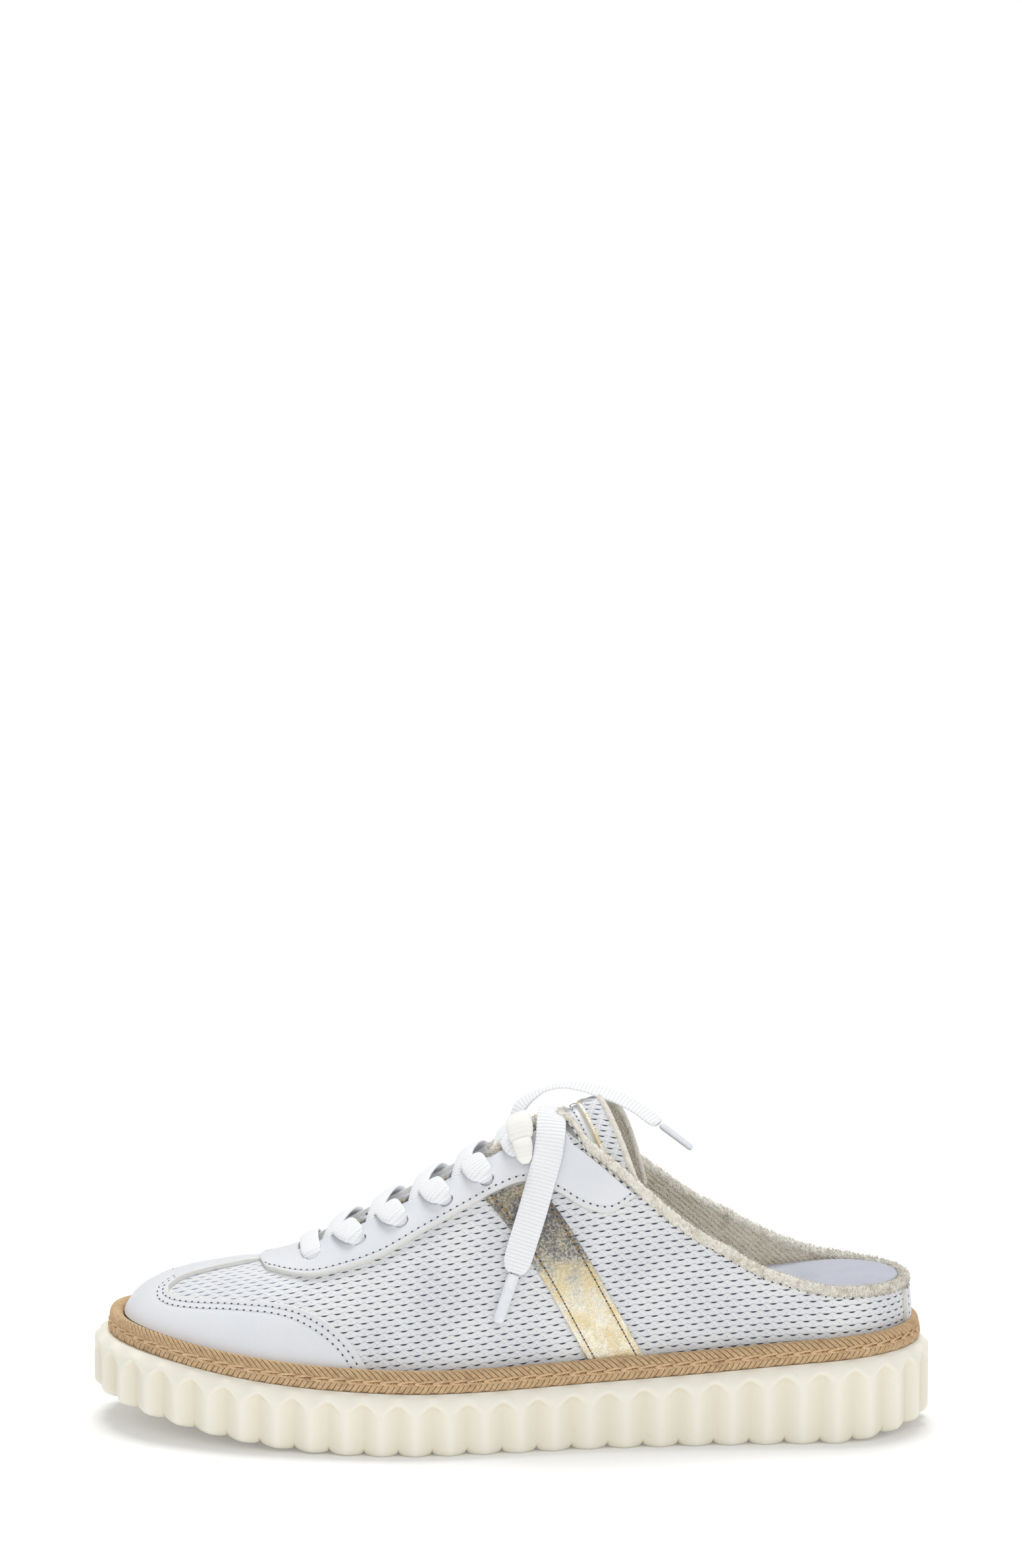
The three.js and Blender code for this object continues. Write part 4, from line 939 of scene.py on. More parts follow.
def punch_eyelets(piece):
    """Cuts the eyelet holes: round bores square to the last, taken out of the piece."""
    turn = np.arange(PUNCH_SIDES) * 2 * np.pi / PUNCH_SIDES
    bores = []
    for side in (-1, 1):
        s = step_at(side, np.array(HOLES["at"]))
        q = np.array(HOLES["up"])
        out = facing(s, q)
        first = unit(np.cross(out, [0.0, 0.0, 1.0]))
        second = np.cross(out, first)
        ring = first[:, None] * np.cos(turn)[:, None] + second[:, None] * np.sin(turn)[:, None]
        for centre, axis, rim in zip(form(s, q), out, ring):
            low, high = centre - axis * PUNCH_DEPTH / 2, centre + axis * PUNCH_DEPTH / 2
            levels = np.stack([np.tile(low, (PUNCH_SIDES, 1)), low + HOLE_RADIUS * rim,
                               high + HOLE_RADIUS * rim, np.tile(high, (PUNCH_SIDES, 1))])
            bores.append((levels.reshape(-1, 3), grid_quads(4, PUNCH_SIDES, wrap_rows=True)))
    points, quads = join(bores)
    cutter = make_piece("punch", points, quads, [])
    cut = piece.modifiers.new("eyelets", "BOOLEAN")
    cut.object = cutter
    cut.operation = "DIFFERENCE"
    cut.solver = "EXACT"
    bpy.context.view_layer.update()
    shaped = bpy.data.meshes.new_from_object(piece.evaluated_get(
        bpy.context.evaluated_depsgraph_get()))
    piece.modifiers.clear()
    piece.data = shaped
    bpy.data.objects.remove(cutter)
    return piece


def make_emboss():
    """Mesh fabric: rows of short slits, each under a raised triangle, in a lattice of fine ridges.
    A slit's middle is the zero of a cell as wide as the period and as high as the row, and
    every other row is moved by half a period."""
    group, given, results = new_group(
        "embossed_mesh", [("Chart", "Vector", None)],
        [("Slit", "Float"), ("Ridge", "Float"), ("Dot", "Float"), ("Height", "Float")],
    )
    parts = node(group, "SeparateXYZ", {0: given["Chart"]}).outputs
    row = sums(group, "DIVIDE", parts[1], DASH_ROW)
    odd = sums(group, "MODULO", sums(group, "FLOOR", sums(group, "ADD", row, 1000.0)), 2.0)
    column = sums(group, "ADD", sums(group, "DIVIDE", parts[0], DASH_PERIOD),
                  sums(group, "MULTIPLY", odd, 0.5))
    across = sums(group, "SUBTRACT", sums(group, "FRACT", sums(group, "ADD", column, 1000.0)), 0.5)
    across = sums(group, "ABSOLUTE", sums(group, "MULTIPLY", across, DASH_PERIOD))
    up = sums(group, "MULTIPLY", sums(group, "FRACT", sums(group, "ADD", row, 1000.0)), DASH_ROW)
    bow = sums(group, "SUBTRACT", 1.0, sums(group, "POWER", sums(group, "DIVIDE", across, 1.2), 2.0))
    thick = sums(group, "MULTIPLY", sums(group, "MAXIMUM", bow, 0.0), 0.23)
    smile = sums(group, "MULTIPLY", sums(group, "POWER", across, 2.0), 0.14)
    above = sums(group, "SUBTRACT", up, DASH_LEVEL)
    off = sums(group, "ABSOLUTE", sums(group, "SUBTRACT", above, smile))
    slit = fade(group, sums(group, "SUBTRACT", thick, off), -0.07, 0.07)
    reach = sums(group, "ADD", sums(group, "DIVIDE", across, DASH_PERIOD / 2),
                 sums(group, "DIVIDE", up, DASH_ROW))
    ridge = fade(group, sums(group, "ABSOLUTE", sums(group, "SUBTRACT", reach, 1.0)), 0.02, 0.15, 1, 0)
    inside = fade(group, reach, 0.0, 1.0, 1.0, 0.25)
    beside = fade(group, reach, 1.0, 1.8, 0.25, 0.0)
    fold = fade(group, reach, 1.0, 1.02, 1, 0)
    facet = sums(group, "MINIMUM", inside, sums(group, "ADD", beside, fold))
    height = sums(group, "SUBTRACT", sums(group, "ADD", facet, sums(group, "MULTIPLY", ridge, 0.3)),
                  sums(group, "MULTIPLY", slit, 1.6))
    far = sums(group, "POWER", across, 2.0)
    lift = sums(group, "POWER", sums(group, "SUBTRACT", up, DOT_LEVEL), 2.0)
    dot = fade(group, sums(group, "SQRT", sums(group, "ADD", far, lift)), 0.1, 0.22, 1, 0)
    group.links.new(slit, results["Slit"])
    group.links.new(ridge, results["Ridge"])
    group.links.new(dot, results["Dot"])
    group.links.new(height, results["Height"])
    return group


def make_pile():
    """Terry cloth: crowded small loops with shade between them, in faint slanted lines."""
    group, given, results = new_group(
        "terry_pile", [("Place", "Vector", None), ("Scale", "Float", 1400.0)],
        [("Height", "Float"), ("Shade", "Float")],
    )
    loops = node(group, "TexVoronoi", {"Vector": given["Place"], "Scale": given["Scale"],
                                       "Randomness": 0.9}).outputs["Distance"]
    tuft = noise(group, given["Place"], 700, 4, 0.65)
    group.links.new(sums(group, "SUBTRACT", sums(group, "MULTIPLY", tuft, 1.4), loops),
                    results["Height"])
    group.links.new(sums(group, "ADD", sums(group, "MULTIPLY", loops, 0.6),
                         sums(group, "MULTIPLY", tuft, 0.5)), results["Shade"])
    return group


emboss_group = make_emboss()
pile_group = make_pile()


def mesh_fabric(name):
    """Coated fabric with the embossed mesh: slits and dots painted dark as the shade inside them, and
    painted paler where the cloth faces the sky, as if lit from above.
    """
    finish, tree, shader = new_finish(name, 0.6, Specular_IOR_Level=0.35, Sheen_Weight=0.15)
    chart = node(tree, "TexCoord").outputs["UV"]
    place = node(tree, "TexCoord").outputs["Object"]
    made = place_group(tree, emboss_group, {"Chart": chart})
    base = blend_colour(tree, fade(tree, noise(tree, place, 50, 2), 0.3, 0.7), FABRIC, FABRIC_SHADE)
    base = blend_colour(tree, sums(tree, "MULTIPLY", made["Ridge"], 0.9), base, FABRIC_RIDGE)
    # Painted light: the slits' painted shade is lightened where the cloth faces up, as if the sky lit
    # them.
    level = node(tree, "SeparateXYZ", {0: node(tree, "NewGeometry").outputs["True Normal"]}).outputs[2]
    dark = blend_colour(tree, fade(tree, level, 0.72, 0.92), FABRIC_SLIT_SHADE, FABRIC_SLIT_SKY_LIT)
    base = blend_colour(tree, sums(tree, "MULTIPLY", made["Dot"], 0.55), base, dark)
    tree.links.new(blend_colour(tree, made["Slit"], base, dark), shader.inputs["Base Color"])
    weave = noise(tree, place, 2600, 2)
    under = bump(tree, shader, weave, 0.00005, 0.4)
    bump(tree, shader, made["Height"], 0.0004, 0.9, under)
    return finish


def terry_cloth(name, colour, light, dark, ribbed):
    """Cream terry: loops painted light with painted shade between them and in its pits, and slanted ribs
    if ribbed.
    """
    finish, tree, shader = new_finish(name, 0.95, Specular_IOR_Level=0.1, Sheen_Weight=0.3,
                                      Sheen_Roughness=0.6)
    place = node(tree, "TexCoord").outputs["Object"]
    made = place_group(tree, pile_group, {"Place": place, "Scale": 1500.0})
    tone = blend_colour(tree, fade(tree, made["Shade"], 0.3, 0.85), light, colour)
    tone = blend_colour(tree, fade(tree, noise(tree, place, 260, 3), 0.45, 0.8, 0, 0.55), tone, dark)
    # Painted shade: the pits are darkened.
    pit_shade = node(tree, "Attribute", attribute_name="pit_shade").outputs["Fac"]
    tone = blend_colour(tree, fade(tree, pit_shade, 0.5, 1.0), tone, dark)
    tree.links.new(tone, shader.inputs["Base Color"])
    under = bump(tree, shader, made["Height"], 0.0004, 0.9)
    if ribbed:
        chart = node(tree, "TexCoord").outputs["UV"]
        rib = node(tree, "TexWave", {"Vector": chart, "Scale": 0.3, "Distortion": 1.2,
                                     "Detail": 1.0}, bands_direction="DIAGONAL").outputs[1]
        bump(tree, shader, rib, 0.0003, 0.6, under)
    return finish


fabric = mesh_fabric("embossed_mesh")
lining_cloth = terry_cloth("lining_terry", TERRY, TERRY_LIGHT, TERRY_DARK, True)
points, quads, uv, kinds = make_shell(0.0, -FABRIC_THICKNESS)
upper = make_piece("upper_fabric", points, quads, [fabric, lining_cloth, fabric], uv=uv, kinds=kinds)
punch_eyelets(upper)
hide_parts("upper")
points, quads, uv, kinds = make_shell(-FABRIC_THICKNESS - 0.02, -UPPER_WALL)
lining = make_piece("upper_lining", points, quads, [lining_cloth], uv=uv)
punch_eyelets(lining)

# Overlays of white leather
# Toe cap, eyestay and backstay are cut from smooth white leather with a pale raw edge, and sewn
# on the fabric: two rows of stitches along the toe cap's edge, and one along the others'.
OVERLAY_BACK = 0.05
OVERLAY_FACE = OVERLAY_GAP + OVERLAY_THICKNESS
EDGE_SOFTNESS = 0.5
EDGE_FUZZ = (0.3, 1.0)
EDGE_ROWS = [0, 0.1, 0.25, 0.45, 0.8, 1.4, 2.0, 2.8, 3.8]
STITCH_PITCH = 2.4
STITCH = {"length": 1.75, "width": 0.5, "height": 0.42}
PINHOLE = {"length": 0.78, "width": 0.55, "height": 0.18}
EYESTAY_ROW = 2.0
EYESTAY_ROWS = [0, 0.01, 0.025, 0.045, 0.08, 0.14, 0.2, 0.28, 0.4, 0.465, 0.53, 0.595, 0.66, 0.725,
                0.79, 0.855, 0.92, 0.95, 0.97, 0.985, 1]
FAR_FROM_EDGE = 9.0
TOE_CAP_ROWS = (1.9, 4.1)
BACKSTAY_HALF = 9.0
BACKSTAY_ROW = 1.6
EYESTAY_EDGE = {
    "at": [0.188, 0.197, 0.215, 0.233, 0.263, 0.309, 0.343, 0.396, 0.448, 0.490, 0.514, 0.556,
           0.592, 0.622, 0.653],
    "up": [1, 0.865, 0.775, 0.715, 0.640, 0.598, 0.592, 0.620, 0.637, 0.645, 0.636, 0.550, 0.472,
           0.448, 0.488],
}
TOE_CAP_EDGE = {
    "at": [0.048, 0.0515, 0.0657, 0.0833, 0.1077, 0.138, 0.181, 0.217, 0.247, 0.272, 0.297, 0.316,
           0.328],
    "up": [0.710, 0.667, 0.598, 0.570, 0.560, 0.555, 0.535, 0.502, 0.445, 0.367, 0.270, 0.175,
           0.100],
}
STRIP_EDGE = {
    "at": [0.048, 0.0485, 0.0519, 0.0657, 0.0845, 0.1206, 0.1511, 0.1755, 0.203],
    "outer": [0.710, 0.732, 0.783, 0.863, 0.899, 0.947, 0.964, 0.982, 0.988],
    "inner": [0.710, 0.716, 0.735, 0.765, 0.785, 0.815, 0.830, 0.840, 0.850],
}
STRIP_ROWS = [0, 0.03, 0.07, 0.13, 0.2, 0.3, 0.4, 0.55, 0.7, 0.85, 1]
STRIP_TUCK = 0.6
STRIP_TUCKED = (0.165, 0.19)
WHITE_LEATHER = srgb(231, 233, 237)
WHITE_SHADE = srgb(224, 227, 232)
RAW_EDGE = srgb(226, 225, 221)
WHITE_THREAD = srgb(238, 238, 240)
# Painted shade: the colour of the dark beads that stand in for the shade inside the needle holes.
PINHOLE_SHADE = srgb(70, 72, 84)


def above_rope(s):
    """The q just under the rope's top edge, where the overlays' feet are hidden."""
    return up_at_height(s, ROPE_HEIGHT + FIT_GAP - 1.2)


def edge_drop(distance):
    """How far a face has come down at a distance from its cut edge: a quarter round."""
    near = np.clip(1 - distance / EDGE_SOFTNESS, 0, 1)
    return EDGE_SOFTNESS * 0.8 * (1 - np.sqrt(1 - near**2))


def stitch_dent(distance, rows):
    """A soft groove along each row of stitches."""
    return sum(0.16 * np.exp(-(((distance - row) / 0.7) ** 2)) for row in rows)


def rows_down(low, high, run, spare=14):
    """Rows between two edges given in q: at fixed distances below the high one, then evenly down
    to the low one. Returns q and the millimetres from the high edge."""
    room = (high - low) * run
    fixed = np.array(EDGE_ROWS)[None, :] * np.minimum(1, room[:, None] / (EDGE_ROWS[-1] * 1.5))
    rest = mix(fixed[:, -1:], room[:, None], np.linspace(0, 1, spare + 1)[None, 1:])
    distance = np.concatenate([fixed, rest], 1)
    return high[:, None] - distance / run[:, None], distance


def overlay(patches):
    """Turns (s, q, drop, distance) grids into one leather wall. Its edge faces are marked as raw,
    and so is its face within the fuzz of the edge."""
    walls, fuzz = [], []
    for s, q, drop, distance in patches:
        columns = s if s.ndim == 2 else s[:, None]
        face = skin(columns, q, OVERLAY_FACE - drop)
        back = skin(columns, q, np.full(q.shape, OVERLAY_BACK))
        chart = np.stack(np.broadcast_arrays(face[..., 0], face[..., 2]), -1)
        walls.append((face, back, chart))
        fuzz.append((1 - smooth(*EDGE_FUZZ, distance) + 0 * q).reshape(-1))
    points, quads, uv, kinds = walled(*walls)
    return points, quads, uv, kinds, np.concatenate(fuzz * 2)


def from_line(s, q, line):
    """Millimetres from each place of a grid to the nearest point of a line of (s, q) places."""
    points = form(s[:, None] if s.ndim == 1 else s, q)
    ends = form(*line)
    return np.sqrt(((points[:, :, None] - ends[None, None]) ** 2).sum(-1).min(-1))


def beside(s, q, distance):
    """A line moved sideways over the last, to the right of the way it runs."""
    pace = np.linalg.norm(form(s + 0.004, q) - form(s - 0.004, q), axis=1) / 0.008
    run = run_length(s, np.minimum(q, 0.97))
    ahead, up = np.gradient(s) * pace, np.gradient(q) * run
    length = np.hypot(ahead, up)
    return s + distance * up / length / pace, q - distance * ahead / length / run


def thread_line(s, q, over, pitch):
    """Places evenly along a line on the last, with the directions along it and out of it, and the
    points midway between each two."""
    line = skin(s, q, np.full(np.shape(s), over))
    laid = way_along(line)
    count = max(int(laid[-1] / pitch), 2)
    at = (np.arange(count) + 0.5) * laid[-1] / count
    s_at, q_at = np.interp(at, laid, s), np.interp(at, laid, q)
    half = laid[-1] / count / 2
    before, after = at - half, at + half
    ends = [np.stack([np.interp(w, laid, line[:, k]) for k in range(3)], -1) for w in (before, after)]
    out = facing(s_at, q_at)
    return skin(s_at, q_at, np.full(count, over)), unit(ends[1] - ends[0]), out, ends[1]


def beads(centre, tangent, out, size, lift=0.0):
    """Small long grains of thread: a ball stretched along the line, flattened along out."""
    across = np.cross(out, tangent)
    level = np.array([-1, -0.8, -0.4, 0.4, 0.8, 1.0])
    reach = np.sqrt(1 - level**2) ** 0.7
    turn = np.arange(6) * np.pi / 3
    ring = (across[:, None, None] * (size["width"] / 2 * np.cos(turn))[None, None, :, None]
            + out[:, None, None] * (size["height"] / 2 * np.sin(turn))[None, None, :, None])
    points = (centre[:, None, None] + out[:, None, None] * lift
              + tangent[:, None, None] * (level * size["length"] / 2)[None, :, None, None]
              + ring * reach[None, :, None, None])
    one = grid_quads(len(level), 6, wrap_rows=True)
    return points.reshape(-1, 3), copied(one, len(centre), len(level) * 6)


def sew(name, lines, thread, over, pitch=STITCH_PITCH, size=STITCH):
    """Rows of stitches with a dark bead between each two, painted as the shade inside the pinhole; lines
    are (s, q) pairs.
    """
    threads, holes = [], []
    for s, q in lines:
        centre, tangent, out, between = thread_line(s, q, over, pitch)
        threads.append(beads(centre, tangent, out, size, lift=-0.06))
        holes.append(beads(between, tangent, out, PINHOLE, lift=0.0))
    for title, parts, finish in ((name, threads, thread), (name + "_pinholes", holes, pinhole_painted_shade)):
        piece = make_piece(title, *join(parts), [finish], crease=180)


def plain_finish(name, colour, roughness, grain_scale):
    """A dull finish of one colour, mottled by a quarter."""
    finish, tree, shader = new_finish(name, roughness, Specular_IOR_Level=0.2)
    place = node(tree, "TexCoord").outputs["Object"]
    tuft = noise(tree, place, grain_scale, 3)
    darker = tuple(channel * 0.75 for channel in colour[:3]) + (1.0,)
    tree.links.new(blend_colour(tree, fade(tree, tuft, 0.4, 0.7), colour, darker),
                   shader.inputs["Base Color"])
    bump(tree, shader, tuft, 0.00008, 0.6)
    return finish


white_leather = leather("white_leather", WHITE_LEATHER, WHITE_SHADE, RAW_EDGE, 0.42, 1500, 0.00003,
                        0.08)
leather_edge = leather("leather_raw_edge", RAW_EDGE, RAW_EDGE, RAW_EDGE, 0.8, 1500, 0.0001)
white_thread = plain_finish("white_thread", WHITE_THREAD, 0.8, 3000)
# Painted shade: a dark finish for the beads that stand in for the shade in the pinholes.
pinhole_painted_shade = plain_finish("pinhole_shade", PINHOLE_SHADE, 0.9, 2000)

def make_toe_cap():
    """The cap runs up from the rope to its edge, and a strip of the same leather runs back over
    the ridge between the two windows. Returns the patches and the lines of stitches."""
    corner = TOE_CAP_EDGE["at"][0]
    tip = step_at(-1, np.linspace(0, 1, 15)[:-1] * corner)
    spread = np.linspace(0, 1, 101) ** 2
    cap_line = step_at(-1, mix(corner, TOE_CAP_EDGE["at"][-1], spread))
    strip_line = step_at(-1, mix(corner, STRIP_EDGE["at"][-1], spread[::2]))
    windows = {}
    for side, word in ((-1, "outer"), (1, "inner")):
        lower = (-side * cap_line, along(TOE_CAP_EDGE, "up", station(cap_line)))
        upper_line = (-side * strip_line, along(STRIP_EDGE, word, station(strip_line)))
        windows[side] = (lower, upper_line)
    side_s = np.concatenate([tip, cap_line])
    s = np.concatenate([-side_s[:0:-1], side_s])
    low = above_rope(s)
    high = np.where(station(s) <= corner, TOE_CAP_EDGE["up"][0], along(TOE_CAP_EDGE, "up", station(s)))
    high = np.maximum(high, low + 0.002)
    q, _ = rows_down(low, high, run_length(s, (low + high) / 2))
    edges = [np.concatenate([windows[1][0][k][::-1], windows[-1][0][k]]) for k in (0, 1)]
    distance = from_line(s, q, edges)
    patches = [(s, q, edge_drop(distance) + stitch_dent(distance, TOE_CAP_ROWS), distance)]
    rows = []
    for side in (-1, 1):
        cap_edge, strip_edge = windows[side]
        s = np.concatenate([-side * tip, strip_edge[0]])
        low = np.concatenate([np.full(len(tip), TOE_CAP_EDGE["up"][0]), strip_edge[1]])
        q = mix(low[:, None], 1, np.array(STRIP_ROWS))
        if side > 0:
            s, q = s[::-1], q[::-1]
        distance = from_line(s, q, strip_edge)
        tuck = STRIP_TUCK * smooth(*STRIP_TUCKED, station(s))[:, None]
        patches.append((s, q, edge_drop(distance) + tuck, distance))
        turn = slice(14, 0, -1)
        line = [np.concatenate([strip_edge[k][turn], cap_edge[k][:-1]]) for k in (0, 1)]
        rows += [beside(*line, -side * row) for row in TOE_CAP_ROWS]
    return patches, rows


def make_eyestay():
    """On each side a wing rises from the edge's curve to the throat, and a nose ahead of the
    throat runs over the ridge to meet the other side's."""
    patches, rows = [], []
    for side in (-1, 1):
        front = step_at(side, THROAT_FRONT)
        nose = np.linspace(step_at(side, EYESTAY_EDGE["at"][0]), front, 31)
        wing = np.linspace(front, step_at(side, EYESTAY_EDGE["at"][-1]), 121)
        s = np.concatenate([nose, wing[1:]])
        edge = along(EYESTAY_EDGE, "up", station(s))
        edge = np.where(station(s) > THROAT_FRONT, np.minimum(edge, wall_top(s) - 0.001), edge)
        front_edge = along(EYESTAY_EDGE, "up", THROAT_FRONT)
        share = (wall_top(front) - front_edge) / (1 - front_edge)
        top = np.where(station(s) <= THROAT_FRONT + 1e-9, edge + (1 - edge) * share, wall_top(s))
        run = run_length(s, np.minimum((edge + top) / 2, 0.97))
        room = (top - edge) * run
        rise = np.array(EYESTAY_ROWS)[None, :]
        q = mix(edge[:, None], top[:, None], rise)
        distance = rise * room[:, None]
        open_top = (station(s) > THROAT_FRONT)[:, None]
        from_top = np.where(open_top, (1 - rise) * room[:, None], FAR_FROM_EDGE)
        drop = edge_drop(distance) + edge_drop(from_top) + stitch_dent(distance, (EYESTAY_ROW,))
        wing_patch = s, q, drop, distance
        row_s = step_at(side, np.linspace(EYESTAY_EDGE["at"][1], EYESTAY_EDGE["at"][-1] - 0.01, 200))
        row_q = np.minimum(along(EYESTAY_EDGE, "up", station(row_s)), 1)
        row_q = row_q + EYESTAY_ROW / run_length(row_s, np.minimum(row_q, 0.95))
        rows.append((row_s, np.minimum(row_q, 0.99)))
        nose_edge = along(EYESTAY_EDGE, "up", station(nose))
        nose_top = nose_edge + (1 - nose_edge) * share
        q = mix(nose_top[:, None], 1, np.linspace(0, 1, 9)[None, :])
        distance = (q - nose_edge[:, None]) * run_length(nose, nose_top * 0.98)[:, None]
        behind = (THROAT_FRONT - station(nose))[:, None] * SOLE_LENGTH + 0 * q
        drop = np.maximum(edge_drop(distance), edge_drop(behind))
        for patch in (wing_patch, (nose, q, drop, distance)):
            patches.append(tuple(grid[::-1] for grid in patch) if side > 0 else patch)
    return patches, rows


def make_backstay():
    """A strip up the heel's back, as wide as its half width on both sides of the middle."""
    fine = np.linspace(0.9, 1, 400)
    way = np.linalg.norm(form(fine, 0 * fine) - form(1.0, 0.0), axis=1)
    half_step = 1 - fine[way < BACKSTAY_HALF][0]
    s = 1 + half_step * np.sin(np.linspace(-np.pi / 2, np.pi / 2, 33))
    low, high = above_rope(s), wall_top((s + 1) % 2 - 1)
    q = mix(low[:, None], high[:, None], np.linspace(0, 1, 15)[None, :])
    distance = (half_step - np.abs(s - 1)) / half_step * BACKSTAY_HALF
    drop = edge_drop(distance)[:, None] + stitch_dent(distance, (BACKSTAY_ROW,))[:, None] + 0 * q
    inside = half_step * (1 - BACKSTAY_ROW / BACKSTAY_HALF)
    rows = [(np.full(60, 1 + side * inside), np.linspace(low[0], high[0], 60)) for side in (-1, 1)]
    return [(s, q, drop, distance[:, None])], rows


for node_name, make_overlay in (("toe_cap", make_toe_cap), ("eyestay", make_eyestay),
                                ("backstay", make_backstay)):
    patches, rows = make_overlay()
    points, quads, uv, kinds, fuzz = overlay(patches)
    piece = make_piece(f"{node_name}_leather", points, quads,
                       [white_leather, white_leather, leather_edge],
                       uv=uv, kinds=kinds, marks={"raw_edge": fuzz})
    if node_name == "eyestay":
        punch_eyelets(piece)
    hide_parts(node_name)
    sew(f"{node_name}_stitches", rows, white_thread, OVERLAY_FACE)

# Side bands
# A plain slanted strip of gold foiled leather on each side, from the welt up to the eyestay,
# sewn down with brown-gold thread near both of its edges. The foil has painted streaks of sheen, and is
# painted darker towards its head as a reflection of dark surroundings.
BAND_FOOT, BAND_HEAD = 0.628, 0.505
BAND_WIDTH = 15.0
BAND_STITCH = 1.7
BAND_STITCH_PITCH = 2.6
BAND_CLIMB = 0.55
BAND_EDGE_DROP = 0.35
GOLD = srgb(238, 222, 180)
GOLD_LIGHT = srgb(255, 251, 236)
GOLD_DARK_REFLECTION = srgb(92, 91, 92)
GOLD_THREAD = srgb(176, 138, 84)
BAND_DARK_REFLECTION = (0.036, 0.076)
PIPING_DARK_REFLECTION = (0.2, 0.3)


def make_gold(name, dark_reflection_heights):
    """Foil over pebbled leather: pale gold with painted streaks of sheen below the first height of
    dark_reflection_heights, in metres, and painted dark above the second, a painted reflection of dark
    surroundings."""
    finish, tree, shader = new_finish(name, 0.33, Metallic=0.6)
    place = node(tree, "TexCoord").outputs["Object"]
    grain = place_group(tree, grain_group, {"Place": place, "Scale": 1500.0, "Waves": 2.2})
    pebble = fade(tree, noise(tree, place, 1300, 2, 0.6), 0.38, 0.62)
    sheen = noise(tree, place, 130, 3, 0.6)
    # Painted highlight: broad streaks of sheen lighten the gold.
    tone = blend_colour(tree, fade(tree, sheen, 0.35, 0.65), GOLD, GOLD_LIGHT)
    # Painted reflection: above the first height the foil darkens, as if it mirrored dark surroundings.
    level = node(tree, "SeparateXYZ", {0: place}).outputs[2]
    dark_reflection = sums(tree, "ADD", fade(tree, level, *dark_reflection_heights, 0.0, 0.85),
                fade(tree, sheen, 0.35, 0.65, -0.15, 0.15))
    dark_reflection = sums(tree, "MULTIPLY", dark_reflection, fade(tree, pebble, 0.0, 1.0, 0.75, 1.1))
    tone = blend_colour(tree, fade(tree, dark_reflection, 0.0, 1.0, 0.0, 0.95), tone, GOLD_DARK_REFLECTION)
    tree.links.new(tone, shader.inputs["Base Color"])
    tree.links.new(fade(tree, pebble, 0.0, 1.0, 0.28, 0.42), shader.inputs["Roughness"])
    under = bump(tree, shader, sheen, 0.0012, 0.6)
    under = bump(tree, shader, pebble, 0.0001, 0.7, under)
    bump(tree, shader, grain["Height"], 0.0001, 0.7, under)
    return finish


def make_band(side):
    """Across the strip run columns at a share of its half width, and up it rows that lean from
    the foot's place to the head's."""
    slant = SOLE_LENGTH * (BAND_FOOT - BAND_HEAD)
    climb = INSTEP_RISE * BAND_CLIMB
    half = BAND_WIDTH / 2 * math.hypot(slant, climb) / climb / SOLE_LENGTH
    share = np.sin(np.linspace(-np.pi / 2, np.pi / 2, 31))
    away = half * share
    head = BAND_HEAD + away
    lap = 3 * FIT_GAP / run_length(step_at(side, head), along(EYESTAY_EDGE, "up", head))
    high = along(EYESTAY_EDGE, "up", head) - lap
    low = above_rope(step_at(side, BAND_FOOT + away))
    rise = np.linspace(0, 1, 61)[None, :]
    s = step_at(side, mix(BAND_FOOT, BAND_HEAD, rise) + away[:, None])
    q = mix(low[:, None], high[:, None], rise)
    distance = (1 - np.abs(share)) * BAND_WIDTH / 2
    ends = np.minimum(edge_drop(distance), BAND_EDGE_DROP)[:, None]
    drop = ends + stitch_dent(distance, (BAND_STITCH,))[:, None] + 0 * q
    if side > 0:
        s, q, drop = s[::-1], q[::-1], drop[::-1]
    inset = 1 - BAND_STITCH / (BAND_WIDTH / 2)
    rows = []
    for way in (-inset, inset):
        k = np.abs(share - way).argmin()
        k = len(share) - 1 - k if side > 0 else k
        rows.append((s[k], q[k]))
    return (s, q, drop, FAR_FROM_EDGE + 0 * q), rows


gold = make_gold("gold_foil_leather", BAND_DARK_REFLECTION)
gold_piping = make_gold("gold_foil_piping", PIPING_DARK_REFLECTION)
gold_thread = plain_finish("gold_thread", GOLD_THREAD, 0.7, 3000)
for side, word in ((-1, "outer"), (1, "inner")):
    patch, rows = make_band(side)
    points, quads, uv, kinds, _ = overlay([patch])
    band = make_piece(f"band_{word}_gold", points, quads, [gold, leather_edge, leather_edge],
                      uv=uv, kinds=kinds)
    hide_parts(f"band_{word}")
    sew(f"band_{word}_stitches", rows, gold_thread, OVERLAY_FACE,
        BAND_STITCH_PITCH)

# Collar binding
# The terry lining is turned out over the upper's edge and sewn down, as a soft rim with a raised
# pile. It starts narrow beside the top eyelets and runs round the heel to the other side.
BINDING_PROUD = 1.3
RIM_FRONT = 0.474
RIM_NUBS = 0.8
RIM_SIT = 1.7
RIM_SIT_INNER = 3.0
RIM_STITCH_PITCH = 3.0
RIM_STITCH_DROP = 0.35
PILE_LOOPS = 9000
PILE_LENGTH = 0.9
PILE_WIDTH = 0.1
# Rim colours: the light one is painted light on the loops, the dark one painted shade between them and
# in the pits, and it also mottles the rim at random.
RIM_CREAM = srgb(242, 236, 221)
RIM_LIGHT = srgb(252, 249, 240)
RIM_DARK = srgb(205, 192, 165)


